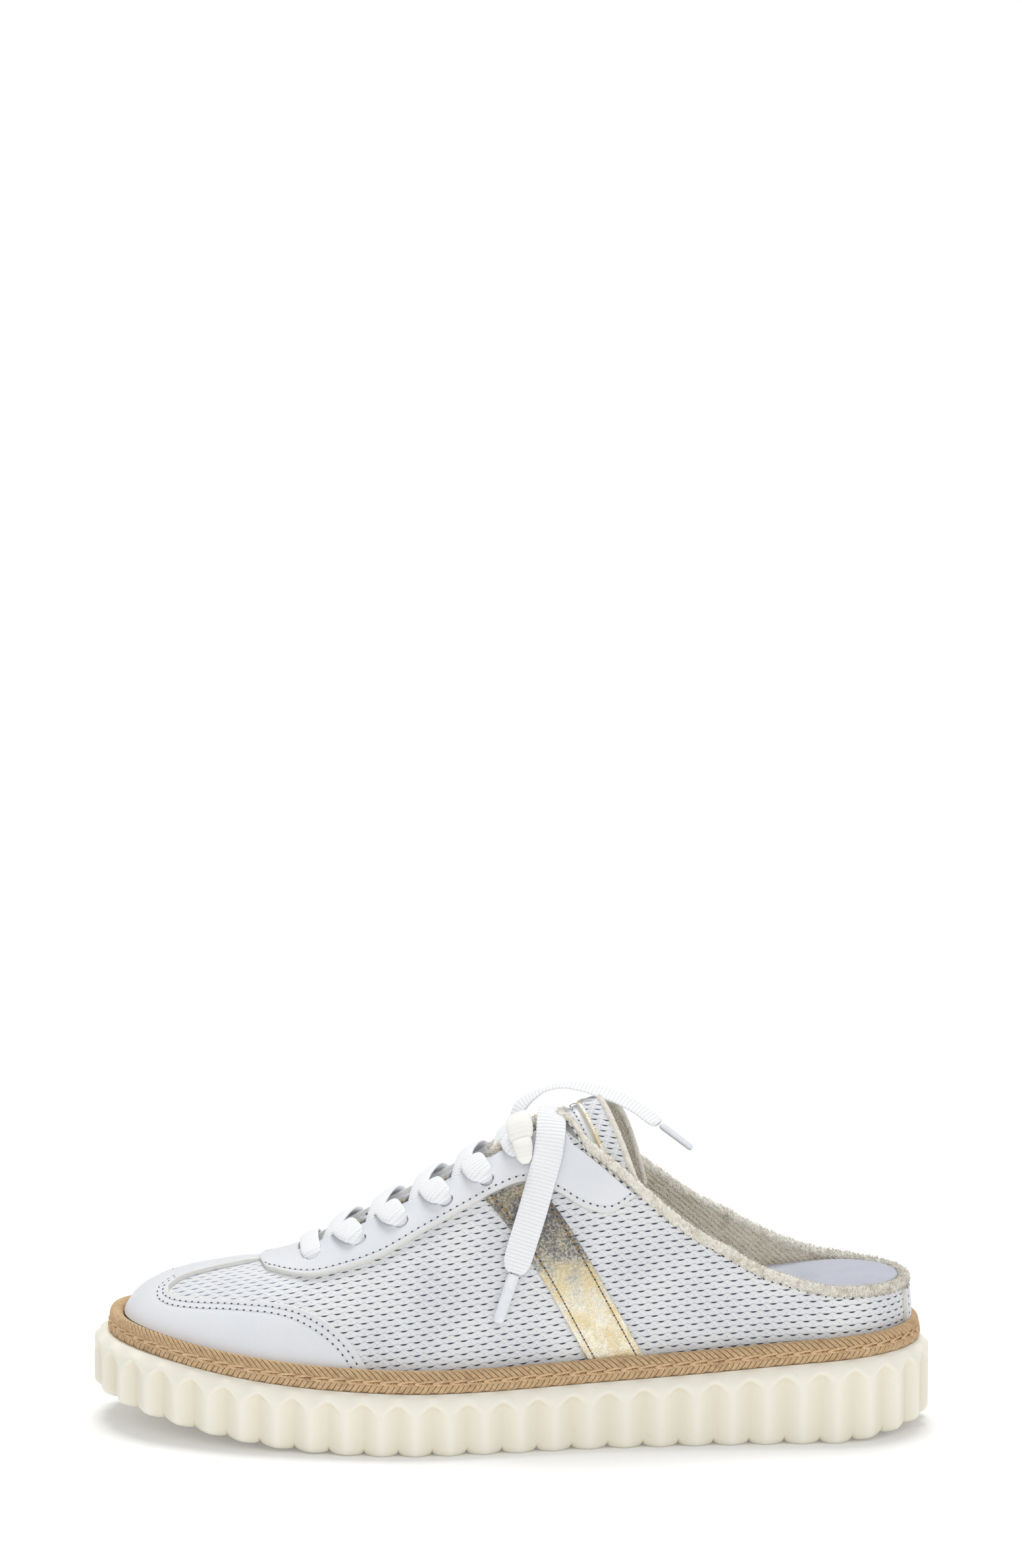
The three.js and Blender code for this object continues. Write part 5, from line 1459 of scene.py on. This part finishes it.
def rim_size(s):
    """Height and half thickness of the rim, and how far it sits above the collar's line: over the
    eyestay's edge at the throat, and on the cloth's edge from there on."""
    start = smooth(RIM_FRONT - 0.001, RIM_FRONT + 0.012, station(s))
    full = smooth(BINDING_NOTCH, BINDING_START + 0.02, station(s))
    height = mix(2.8, BINDING_HEIGHT, full) * mix(0.3, 1, start)
    half = mix(1.8, (UPPER_WALL + BINDING_PROUD) / 2, full) * mix(0.4, 1, start)
    return height, half, RIM_SIT * (1 - full) * np.where(s > 0, RIM_SIT_INNER, 1.0)


def capped(rings, middle):
    """Rings closed at both ends: one more ring is drawn together into the middle's end point."""
    ends = [np.repeat(middle[k][None, None], rings.shape[1], axis=1) for k in (0, -1)]
    return np.concatenate([ends[0], rings, ends[1]])


def make_rim():
    """A tube along the top line, its section an upright oval square to the line, with nubs: random
    swellings averaged with their neighbours."""
    rng = np.random.default_rng(11)
    side = np.linspace(step_at(-1, RIM_FRONT), 1, 701)
    s = np.concatenate([side, (1 + (1 - side[-2::-1]))])
    around = np.linspace(0, 2 * np.pi, 27)[:-1]
    wrapped = (s + 1) % 2 - 1
    height, half, sit = rim_size(wrapped)
    rise = drop_below(wrapped, 1.0)
    nubs = rng.random((len(s), len(around))) - 0.5
    nubs = nubs + 0.5 * (np.roll(nubs, 1, 0) + np.roll(nubs, -1, 0)
                         + np.roll(nubs, 1, 1) + np.roll(nubs, -1, 1))
    rough = 1 + RIM_NUBS * nubs / 3
    q = (top_line(wrapped) - rise * (height / 2 - sit))[:, None]
    q = q + (rise * height / 2)[:, None] * np.cos(around) * rough
    middle = BINDING_PROUD - (UPPER_WALL + BINDING_PROUD) / 2 + 0.25 * (sit > 0)
    over = middle[:, None] + half[:, None] * np.sin(around) * rough
    rings = skin(wrapped[:, None], q, over)
    rings = capped(rings, [rings[0].mean(0), rings[-1].mean(0)])
    # Painted shade: pits are marked where the nubs sink, to be coloured darker.
    pits = np.concatenate([0 * nubs[:1], 0.3 - 0.6 * nubs, 0 * nubs[:1]])
    return rings, grid_quads(*rings.shape[:2], wrap_rows=True), pits


def tufts(roots, out, length, width, seed):
    """Short curled fibres: three-sided tapering tubes that leave the root outwards and bend."""
    rng = np.random.default_rng(seed)
    count = len(roots)
    lean = rng.normal(size=(count, 3))
    lean = unit(lean - np.einsum("ij,ij->i", lean, out)[:, None] * out)
    size = length * (0.5 + rng.random(count))[:, None]
    levels = [roots - out * 0.1, roots + out * size * 0.45 + lean * size * 0.3,
              roots + out * size * 0.6 + lean * size * 0.9]
    side = np.cross(out, lean)
    turn = np.arange(3) * 2 * np.pi / 3
    rings = []
    for level, share in zip(levels, (1.0, 0.8, 0.0)):
        ring = (side[:, None] * np.cos(turn)[None, :, None] + out[:, None] * np.sin(turn)[None, :, None])
        rings.append(level[:, None] + ring * width * share)
    rings.insert(0, np.repeat(levels[0][:, None], 3, axis=1))
    points = np.stack(rings, 1)
    return points.reshape(-1, 3), copied(grid_quads(4, 3, wrap_rows=True), count, 4 * 3)


rim_cloth = terry_cloth("rim_terry", RIM_CREAM, RIM_LIGHT, RIM_DARK, False)
rings, quads, pits = make_rim()
rim = make_piece("collar_rim", rings.reshape(-1, 3), quads, [rim_cloth], crease=180,
                 marks={"pit_shade": pits.reshape(-1)})
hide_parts("collar_binding")
rng = np.random.default_rng(5)
pick = rng.integers(1, len(rings) - 1, PILE_LOOPS)
spot = rng.integers(0, rings.shape[1], PILE_LOOPS)
roots = rings[pick, spot]
out = unit(roots - rings[pick].mean(1))
points, quads = tufts(roots, out, PILE_LENGTH, PILE_WIDTH, 6)
pile = make_piece("collar_rim_pile", points, quads, [rim_cloth], crease=180)
heel_rows, eyestay_rows = [], []
for side in (-1, 1):
    s = step_at(side, np.linspace(RIM_FRONT + 0.01, 0.64, 200))
    height, _, sit = rim_size(s)
    eyestay_rows.append((s, top_line(s) + (sit - height - RIM_STITCH_DROP) * drop_below(s, 1.0)))
    s = step_at(side, np.linspace(0.655, 1, 300))
    heel_rows.append((s, top_line(s) - (BINDING_HEIGHT + RIM_STITCH_DROP) * drop_below(s, 1.0)))
sew("rim_stitches_low", heel_rows, rim_cloth, 0.0, RIM_STITCH_PITCH)
sew("rim_stitches_high", eyestay_rows, rim_cloth, OVERLAY_FACE, RIM_STITCH_PITCH)

# Tongue
# A padded panel under the throat. White leather covers it up to a gold piping, then comes a strip
# of the mesh fabric and a rim of terry, which also lines its underside. The laces press it down.
TONGUE_THICKNESS = 2.6
TONGUE_GAP = 0.8
TONGUE_SIDE = {"at": [0.150, 0.300, 0.500, 0.580, 0.660], "up": [0.780, 0.700, 0.650, 0.560, 0.450]}
TONGUE_END = {"crest": 0.604, "side": 0.662, "power": 1.6}
TONGUE_PRESS = {
    "at": [0.150, 0.240, 0.400, 0.480, 0.530, 0.575, 0.604],
    "press": [0.0, 1.2, 1.8, 3.4, 3.4, 0.6, 0.0],
}
TONGUE_BAND = 8.4
TONGUE_RIM = 2.4
TONGUE_LOBE = 0.009
TONGUE_STITCHES = 3.2
TONGUE_STITCH_PITCH = 1.8
TONGUE_MARGIN = (0.5, 2.0)
PIPING_RADIUS = 0.75


def tongue_face(c, q):
    """Height of the tongue's face over the last: eased down to the press along its middle."""
    t = smooth(0.8, 1.0, q)
    return -(UPPER_WALL + TONGUE_GAP) - along(TONGUE_PRESS, "press", c) * t


def tongue_place(u, v):
    """s and q of the tongue: u from its front to its free end, v across from the outer edge at 0
    over the ridge at 0.5 to the inner edge at 1."""
    far = np.abs(2 * v - 1)
    end = mix(TONGUE_END["crest"], TONGUE_END["side"], far ** TONGUE_END["power"])
    end = end + TONGUE_LOBE * np.sin(np.pi * far) * (v > 0.5)
    c = mix(TONGUE_SIDE["at"][0], end, u)
    q = mix(along(TONGUE_SIDE, "up", c), 1, 1 - far)
    side = np.where(v < 0.5, -1, 1)
    return step_at(side, c), q, c


def tongue_grid(u, v, depth):
    """Points of the tongue at a depth under its face, for columns u and rows v."""
    s, q, c = tongue_place(u[:, None], v[None, :])
    return skin(s, q, tongue_face(c, q) - depth)


u = np.concatenate([np.linspace(0, 0.9, 60), np.linspace(0.905, 1, 40)])
v = np.linspace(0, 1, 61)
tongue_length = run_up(np.swapaxes(tongue_grid(u, v, np.zeros((len(u), len(v)))), 0, 1))[:, -1].mean()
from_end = (1 - u) * tongue_length
puff = 0.7 * np.exp(-(((from_end - TONGUE_BAND / 2 - 1) / 3.2) ** 2))[:, None] + 0 * v
seam = 0.5 * np.exp(-(((from_end - TONGUE_BAND - 1.2) / 0.8) ** 2))[:, None]
face = tongue_grid(u, v, seam - puff)
back = tongue_grid(u, v, np.full((len(u), len(v)), TONGUE_THICKNESS))
across = run_up(face)
chart = np.stack([-from_end[:, None] + 0.3 * across, across + 0.3 * from_end[:, None]], -1)
points, quads, uv, kinds = walled((face, back, chart))
row = np.repeat(np.arange(len(u) - 1), len(v) - 1)
faces_here = (kinds == 0).nonzero()[0]
margin = (from_end > TONGUE_BAND + TONGUE_MARGIN[0]) & (from_end < TONGUE_BAND + TONGUE_MARGIN[1])
kinds[faces_here] = np.where(from_end[row] < TONGUE_BAND, 3, np.where(margin[row], 4, 0))
tongue = make_piece("tongue_panel", points, quads,
                    [white_leather, lining_cloth, lining_cloth, fabric, leather_edge],
                    uv=uv, kinds=kinds)
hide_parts("tongue")


def tongue_cord(name, distance, radius, over, finish, squash=1.0, jitter=0.0, sides=14):
    """A cord across the tongue at a distance from its free end: rings about a line over the face,
    deepened by squash and roughened by jitter."""
    rng = np.random.default_rng(3)
    v = np.linspace(0.0, 1.0, 241)
    u = np.full(len(v), 1 - distance / tongue_length)
    s, q, c = tongue_place(u, v)
    centre = skin(s, q, tongue_face(c, q) + over)
    out = facing(s, q)
    across = unit(np.cross(unit(np.gradient(centre, axis=0)), out))
    turn = np.linspace(0, 2 * np.pi, sides + 1)[:-1]
    rough = 1 + jitter * (rng.random((len(v), sides, 1)) - 0.5)
    ring = (across[:, None] * (radius * np.cos(turn))[None, :, None]
            + out[:, None] * (radius * squash * np.sin(turn))[None, :, None]) * rough
    rings = capped(centre[:, None] + ring, centre)
    piece = make_piece(name, rings.reshape(-1, 3), grid_quads(*rings.shape[:2], wrap_rows=True),
                       [finish], crease=180)


tongue_cord("tongue_piping", TONGUE_BAND, PIPING_RADIUS, 0.25, gold_piping,
            squash=0.9)
tongue_cord("tongue_rim", TONGUE_RIM / 2 - 0.6, TONGUE_RIM / 2, 0.4 - TONGUE_THICKNESS / 2,
            rim_cloth, squash=1.6, jitter=0.2)
across = np.linspace(0.02, 0.98, 300)
row_u = 1 - (TONGUE_BAND + TONGUE_STITCHES) / tongue_length + 0 * across
s, q, _ = tongue_place(row_u, across)
half = len(across) // 2
rows = [(s[:half], q[:half]), (s[half:], q[half:])]
sew("tongue_stitches", rows, white_thread, -(UPPER_WALL + TONGUE_GAP),
    TONGUE_STITCH_PITCH)

# Laces
# Flat woven white cotton, drawn together in the eyelets and 10 mm wide where it lies open. One bar
# crosses at the front, then two runs cross between each pair of eyelets: out from under one edge
# of the throat, over the tongue, and down into the next eyelet on the other side.
LACE_END_WIDTH = 10.0
LACE_THICKNESS = 1.1
LACE_CUP = 0.35
HOLE_DEPTH = 3.4
LACE_OVER = OVERLAY_FACE + FIT_GAP + LACE_THICKNESS / 2
LACE_UNDER = LACE_THICKNESS / 2 + FIT_GAP - (UPPER_WALL + TONGUE_GAP)
LACE = srgb(250, 251, 253)
LACE_SHADE = srgb(218, 221, 230)
KNOT_CREAM = srgb(249, 248, 242)
COURSE_PITCH = 1.25
WALE_PITCH = 1.2


def spline(points, count):
    """A centripetal curve through points: each stretch is a cubic whose end slopes come from the
    square roots of the distances to its neighbours."""
    points = np.asarray(points, float)
    whole = np.concatenate([[2 * points[0] - points[1]], points, [2 * points[-1] - points[-2]]])
    at = np.linspace(0, len(points) - 1, count)
    i = np.minimum(at.astype(int), len(points) - 2)
    t = (at - i)[:, None]
    p0, p1, p2, p3 = (whole[i + k] for k in range(4))
    gaps = [np.maximum(np.linalg.norm(b - a, axis=1, keepdims=True), 1e-6) ** 0.5
            for a, b in ((p0, p1), (p1, p2), (p2, p3))]
    first = (p1 - p0) / gaps[0] - (p2 - p0) / (gaps[0] + gaps[1]) + (p2 - p1) / gaps[1]
    last = (p2 - p1) / gaps[1] - (p3 - p1) / (gaps[1] + gaps[2]) + (p3 - p2) / gaps[2]
    first, last = first * gaps[1], last * gaps[1]
    return (p1 * (2 * t**3 - 3 * t**2 + 1) + first * (t**3 - 2 * t**2 + t)
            + p2 * (3 * t**2 - 2 * t**3) + last * (t**3 - t**2))


def ribbon(route, widths, thicknesses, count, sides=16, cup=0.0, roll=((0, 0), (1, 0))):
    """A flat lace along a route of (side, at, up, over) places: its broad side lies on the last,
    turned about its own line by roll in degrees, and its section is a flattened oval, curved down
    at its edges by cup."""
    side, at, up, over = np.array(route, float).T
    s = step_at(side, at)
    centre = spline(skin(s, up, over), count)
    lean = spline(facing(s, up), count)
    tangent = unit(np.gradient(centre, axis=0))
    across = unit(np.cross(lean, tangent))
    out = np.cross(tangent, across)
    share = np.linspace(0, 1, count)
    tip = np.radians(np.interp(share, *np.array(roll, float).T))[:, None]
    across, out = (across * np.cos(tip) + out * np.sin(tip), out * np.cos(tip) - across * np.sin(tip))
    width = np.interp(share, *np.array(widths, float).T)
    thick = np.interp(share, *np.array(thicknesses, float).T)
    turn = np.linspace(0, 2 * np.pi, sides + 1)[:-1]
    wide = np.sign(np.cos(turn)) * np.abs(np.cos(turn)) ** 0.6
    deep = np.sign(np.sin(turn)) * np.abs(np.sin(turn)) ** 0.75
    x = width[:, None] / 2 * wide
    y = thick[:, None] / 2 * deep - cup * wide**2
    rings = centre[:, None] + across[:, None] * x[..., None] + out[:, None] * y[..., None]
    rings = capped(rings, centre)
    laid = way_along(centre)
    laid = np.concatenate([[0], laid, laid[-1:]])
    girth = np.concatenate([x[:1] * 0, x, x[-1:] * 0])
    chart = np.stack([np.broadcast_to(laid[:, None], girth.shape), girth], -1)
    quads = grid_quads(*rings.shape[:2], wrap_rows=True)
    return rings.reshape(-1, 3), quads, chart.reshape(-1, 2)[quads], centre


def make_weave():
    """A flat braid: rows of fine stitches across the lace that rise and fall in a zigzag."""
    group, given, results = new_group(
        "lace_weave", [("Chart", "Vector", None)], [("Height", "Float"), ("Shade", "Float")])
    parts = node(group, "SeparateXYZ", {0: given["Chart"]}).outputs
    zigzag = sums(group, "PINGPONG", sums(group, "ADD", parts[1], 50.0), WALE_PITCH / 2)
    moved = sums(group, "ADD", parts[0], sums(group, "MULTIPLY", zigzag, 0.55))
    turn = sums(group, "MULTIPLY", moved, math.pi / COURSE_PITCH)
    rows = sums(group, "ABSOLUTE", sums(group, "SINE", turn))
    turn = sums(group, "MULTIPLY", parts[1], math.pi / (WALE_PITCH / 2))
    wales = sums(group, "ABSOLUTE", sums(group, "SINE", turn))
    height = sums(group, "ADD", sums(group, "MULTIPLY", rows, 0.8), sums(group, "MULTIPLY", wales, 0.35))
    group.links.new(height, results["Height"])
    group.links.new(fade(group, rows, 0.1, 0.55, 1, 0), results["Shade"])
    return group


weave_group = make_weave()


def lace_cotton(name, colour, ribbing):
    """White cotton with the braid's rows, painted with shade between them and raised, both as strongly
    as the ribbing says.
    """
    finish, tree, shader = new_finish(name, 0.85, Specular_IOR_Level=0.15, Sheen_Weight=0.2)
    chart = node(tree, "TexCoord").outputs["UV"]
    place = node(tree, "TexCoord").outputs["Object"]
    made = place_group(tree, weave_group, {"Chart": chart})
    tone = blend_colour(tree, sums(tree, "MULTIPLY", made["Shade"], ribbing), colour, LACE_SHADE)
    tree.links.new(tone, shader.inputs["Base Color"])
    under = bump(tree, shader, noise(tree, place, 2500, 3), 0.0001, 0.5)
    bump(tree, shader, made["Height"], 0.0005 * ribbing, 0.9, under)
    return finish


lace = lace_cotton("lace_cotton", LACE, 0.4)
knot_cotton = lace_cotton("knot_cotton", KNOT_CREAM, 0.12)


def edge_up(side, at):
    """The q of the throat's edge at a share of the length."""
    return float(wall_top(step_at(side, np.array([at])))[0])


def lace_run(side, k, crest):
    """The way of one run, with the stretches through the eyelets at both of its ends."""
    start, end = HOLES["at"][k], HOLES["at"][k + 1]
    start_up, end_up = HOLES["up"][k], HOLES["up"][k + 1]
    base, land = mix(start, end, 0.18), mix(start, end, 0.7)
    return [
        (side, start, start_up - 0.01, -HOLE_DEPTH),
        (side, start + 0.003, start_up + 0.04, LACE_UNDER - 0.2),
        (side, base, edge_up(side, base), LACE_UNDER + 0.5),
        (side, mix(start, end, 0.42), 1.0, crest),
        (-side, land, edge_up(-side, land) + 0.01, LACE_OVER + 0.9),
        (-side, mix(start, end, 0.82), mix(end_up, edge_up(-side, land), 0.55), LACE_OVER + 1.1),
        (-side, mix(start, end, 0.95), end_up + 0.016, LACE_OVER + 0.5),
        (-side, end, end_up - 0.002, 0.2),
        (-side, end, end_up - 0.006, -HOLE_DEPTH),
    ]


RUN_CRESTS = [(1, -0.9), (-1, 1.2)]
RUN_WIDTHS = [(0, 4.4), (0.125, 5.5), (0.25, 6.4), (0.375, 6.9), (0.47, 8.6), (0.56, 9.0), (0.65, 8.7),
              (0.72, 7.8), (0.79, 6.0), (0.86, 4.4), (1, 4.0)]
RUN_THICK = [(0, 1.4), (0.3, LACE_THICKNESS), (0.5, 1.3), (0.65, 2.0), (0.8, 2.6), (1, 2.2)]
for k in range(len(HOLES["at"]) - 1):
    runs = []
    for side, crest in RUN_CRESTS:
        runs.append(ribbon(lace_run(side, k, crest), RUN_WIDTHS, RUN_THICK, 90, cup=LACE_CUP)[:3])
    points, quads, uv = join(runs)
    crossing = make_piece(f"lace_crossing_{k + 1}_cotton", points, quads, [lace], uv=uv, crease=180)
    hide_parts(f"lace_crossing_{k + 1}")

at, up = HOLES["at"][0], HOLES["up"][0]
edge = edge_up(-1, at)
bar_half = [(at, up - 0.014, -HOLE_DEPTH), (at, up - 0.01, 0.2), (at, up + 0.01, LACE_OVER - 0.3),
            (at - 0.002, edge, LACE_OVER + 0.5)]
bar_route = [(-1, *place) for place in bar_half] + [(-1, at - 0.003, 1.0, LACE_OVER - 0.1)]
bar_route += [(1, *place) for place in reversed(bar_half)]
bar_widths = [(0, 4.0), (0.14, 4.4), (0.3, 7.0), (0.5, 6.8), (0.7, 7.0), (0.86, 4.4), (1, 4.0)]
bar_thick = [(0, 1.9), (0.3, 1.2), (0.7, 1.2), (1, 1.9)]
points, quads, uv, _ = ribbon(bar_route, bar_widths, bar_thick, 110, cup=0.3)
bar = make_piece("lace_bar_cotton", points, quads, [lace], uv=uv, crease=180)
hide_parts("lace_bar")

# Knot and loose ends
# The laces are tied once over the top crossing. The outer end falls over the side of the shoe, and
# the inner one arches back over the tongue. A clear plastic aglet grips each tip.
KNOT_ROUTE = [(-1, 0.5235, 0.675, 5.0), (-1, 0.5225, 0.730, 6.0), (-1, 0.5210, 0.785, 6.4),
              (-1, 0.5205, 0.850, 6.2), (-1, 0.5205, 0.912, 4.8)]
OUTER_END = [
    (-1, 0.5545, 0.985, -3.8), (-1, 0.5545, 0.948, -2.4), (-1, 0.554, 0.905, -0.2),
    (-1, 0.5535, 0.865, 1.6), (-1, 0.553, 0.820, 3.0), (-1, 0.552, 0.750, 3.6),
    (-1, 0.5475, 0.670, 3.3), (-1, 0.539, 0.590, 3.0), (-1, 0.529, 0.505, 3.0),
    (-1, 0.5185, 0.430, 3.0), (-1, 0.508, 0.350, 3.0),
]
INNER_END = [
    (1, 0.507, 0.930, 1.6), (1, 0.521, 0.930, 5.0), (1, 0.543, 0.932, 5.8),
    (1, 0.566, 0.935, 4.8), (1, 0.588, 0.940, 1.8), (1, 0.606, 0.940, -1.2),
    (1, 0.626, 0.940, -4.8), (1, 0.650, 0.935, -10.6), (1, 0.668, 0.930, -15.6),
]
OUTER_ROLL = [(0, -40), (0.28, -38), (0.4, -24), (0.52, -8), (0.7, 0), (1, 0)]
INNER_ROLL = [(0, 36), (0.15, 30), (0.28, 12), (0.42, 18), (0.6, 30), (1, 34)]
OUTER_AGLET = [(-1, 0.5076, 0.3465, 3.0), (-1, 0.488, 0.215, 3.2)]
INNER_AGLET = [(1, 0.6705, 0.930, -16.3), (1, 0.709, 0.930, -25.4)]
KNOT_WIDTHS = [(0, 2.4), (0.08, 4.8), (0.25, 6.2), (0.36, 6.6), (0.42, 6.4), (0.47, 7.8), (0.6, 8.9),
               (0.8, 8.6), (0.92, 7.0), (1, 3.4)]
KNOT_THICK = [(0, 1.8), (0.1, 3.4), (0.28, 4.6), (0.37, 3.9), (0.42, 2.7), (0.48, 4.4), (0.65, 5.8),
              (0.85, 5.2), (0.95, 3.8), (1, 1.8)]
END_WIDTHS = [(0, 8.6), (0.1, LACE_END_WIDTH), (0.92, LACE_END_WIDTH - 0.6), (0.968, 9.0), (0.99, 7.2),
              (1, 4.6)]
END_THICK = [(0, 1.3), (0.9, 1.2), (1, 1.9)]
AGLET_WIDTHS = [(0, 3.6), (0.05, 4.0), (0.92, 3.7), (1, 2.6)]
AGLET_THICK = [(0, 1.9), (0.05, 2.2), (0.92, 2.0), (1, 1.2)]
AGLET = srgb(248, 250, 253)
AGLET_CLOUD = srgb(240, 243, 250)

aglet_plastic, tree, shader = new_finish("aglet_plastic", 0.16, Transmission_Weight=0.12, IOR=1.45,
                                         Coat_Weight=0.4)
place = node(tree, "TexCoord").outputs["Object"]
cloudy = fade(tree, noise(tree, place, 500, 2), 0.3, 0.7)
tree.links.new(blend_colour(tree, cloudy, AGLET, AGLET_CLOUD), shader.inputs["Base Color"])

points, quads, uv, _ = ribbon(KNOT_ROUTE, KNOT_WIDTHS, KNOT_THICK, 70, sides=28)
knot = make_piece("lace_knot_cotton", points, quads, [knot_cotton], uv=uv, crease=180)
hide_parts("lace_knot")

for word, route, tip, roll in (("outer", OUTER_END, OUTER_AGLET, OUTER_ROLL),
                               ("inner", INNER_END, INNER_AGLET, INNER_ROLL)):
    points, quads, uv, _ = ribbon(tip, AGLET_WIDTHS, AGLET_THICK, 30, sides=18)
    aglet = make_piece(f"aglet_{word}_plastic", points, quads, [aglet_plastic], uv=uv, crease=180)
    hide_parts(f"aglet_{word}")
    points, quads, uv, centre = ribbon(route, END_WIDTHS, END_THICK, 160, sides=20, cup=0.25,
                                       roll=roll)
    end = make_piece(f"lace_end_{word}_cotton", points, quads, [lace], uv=uv, crease=180)
    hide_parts(f"lace_end_{word}")
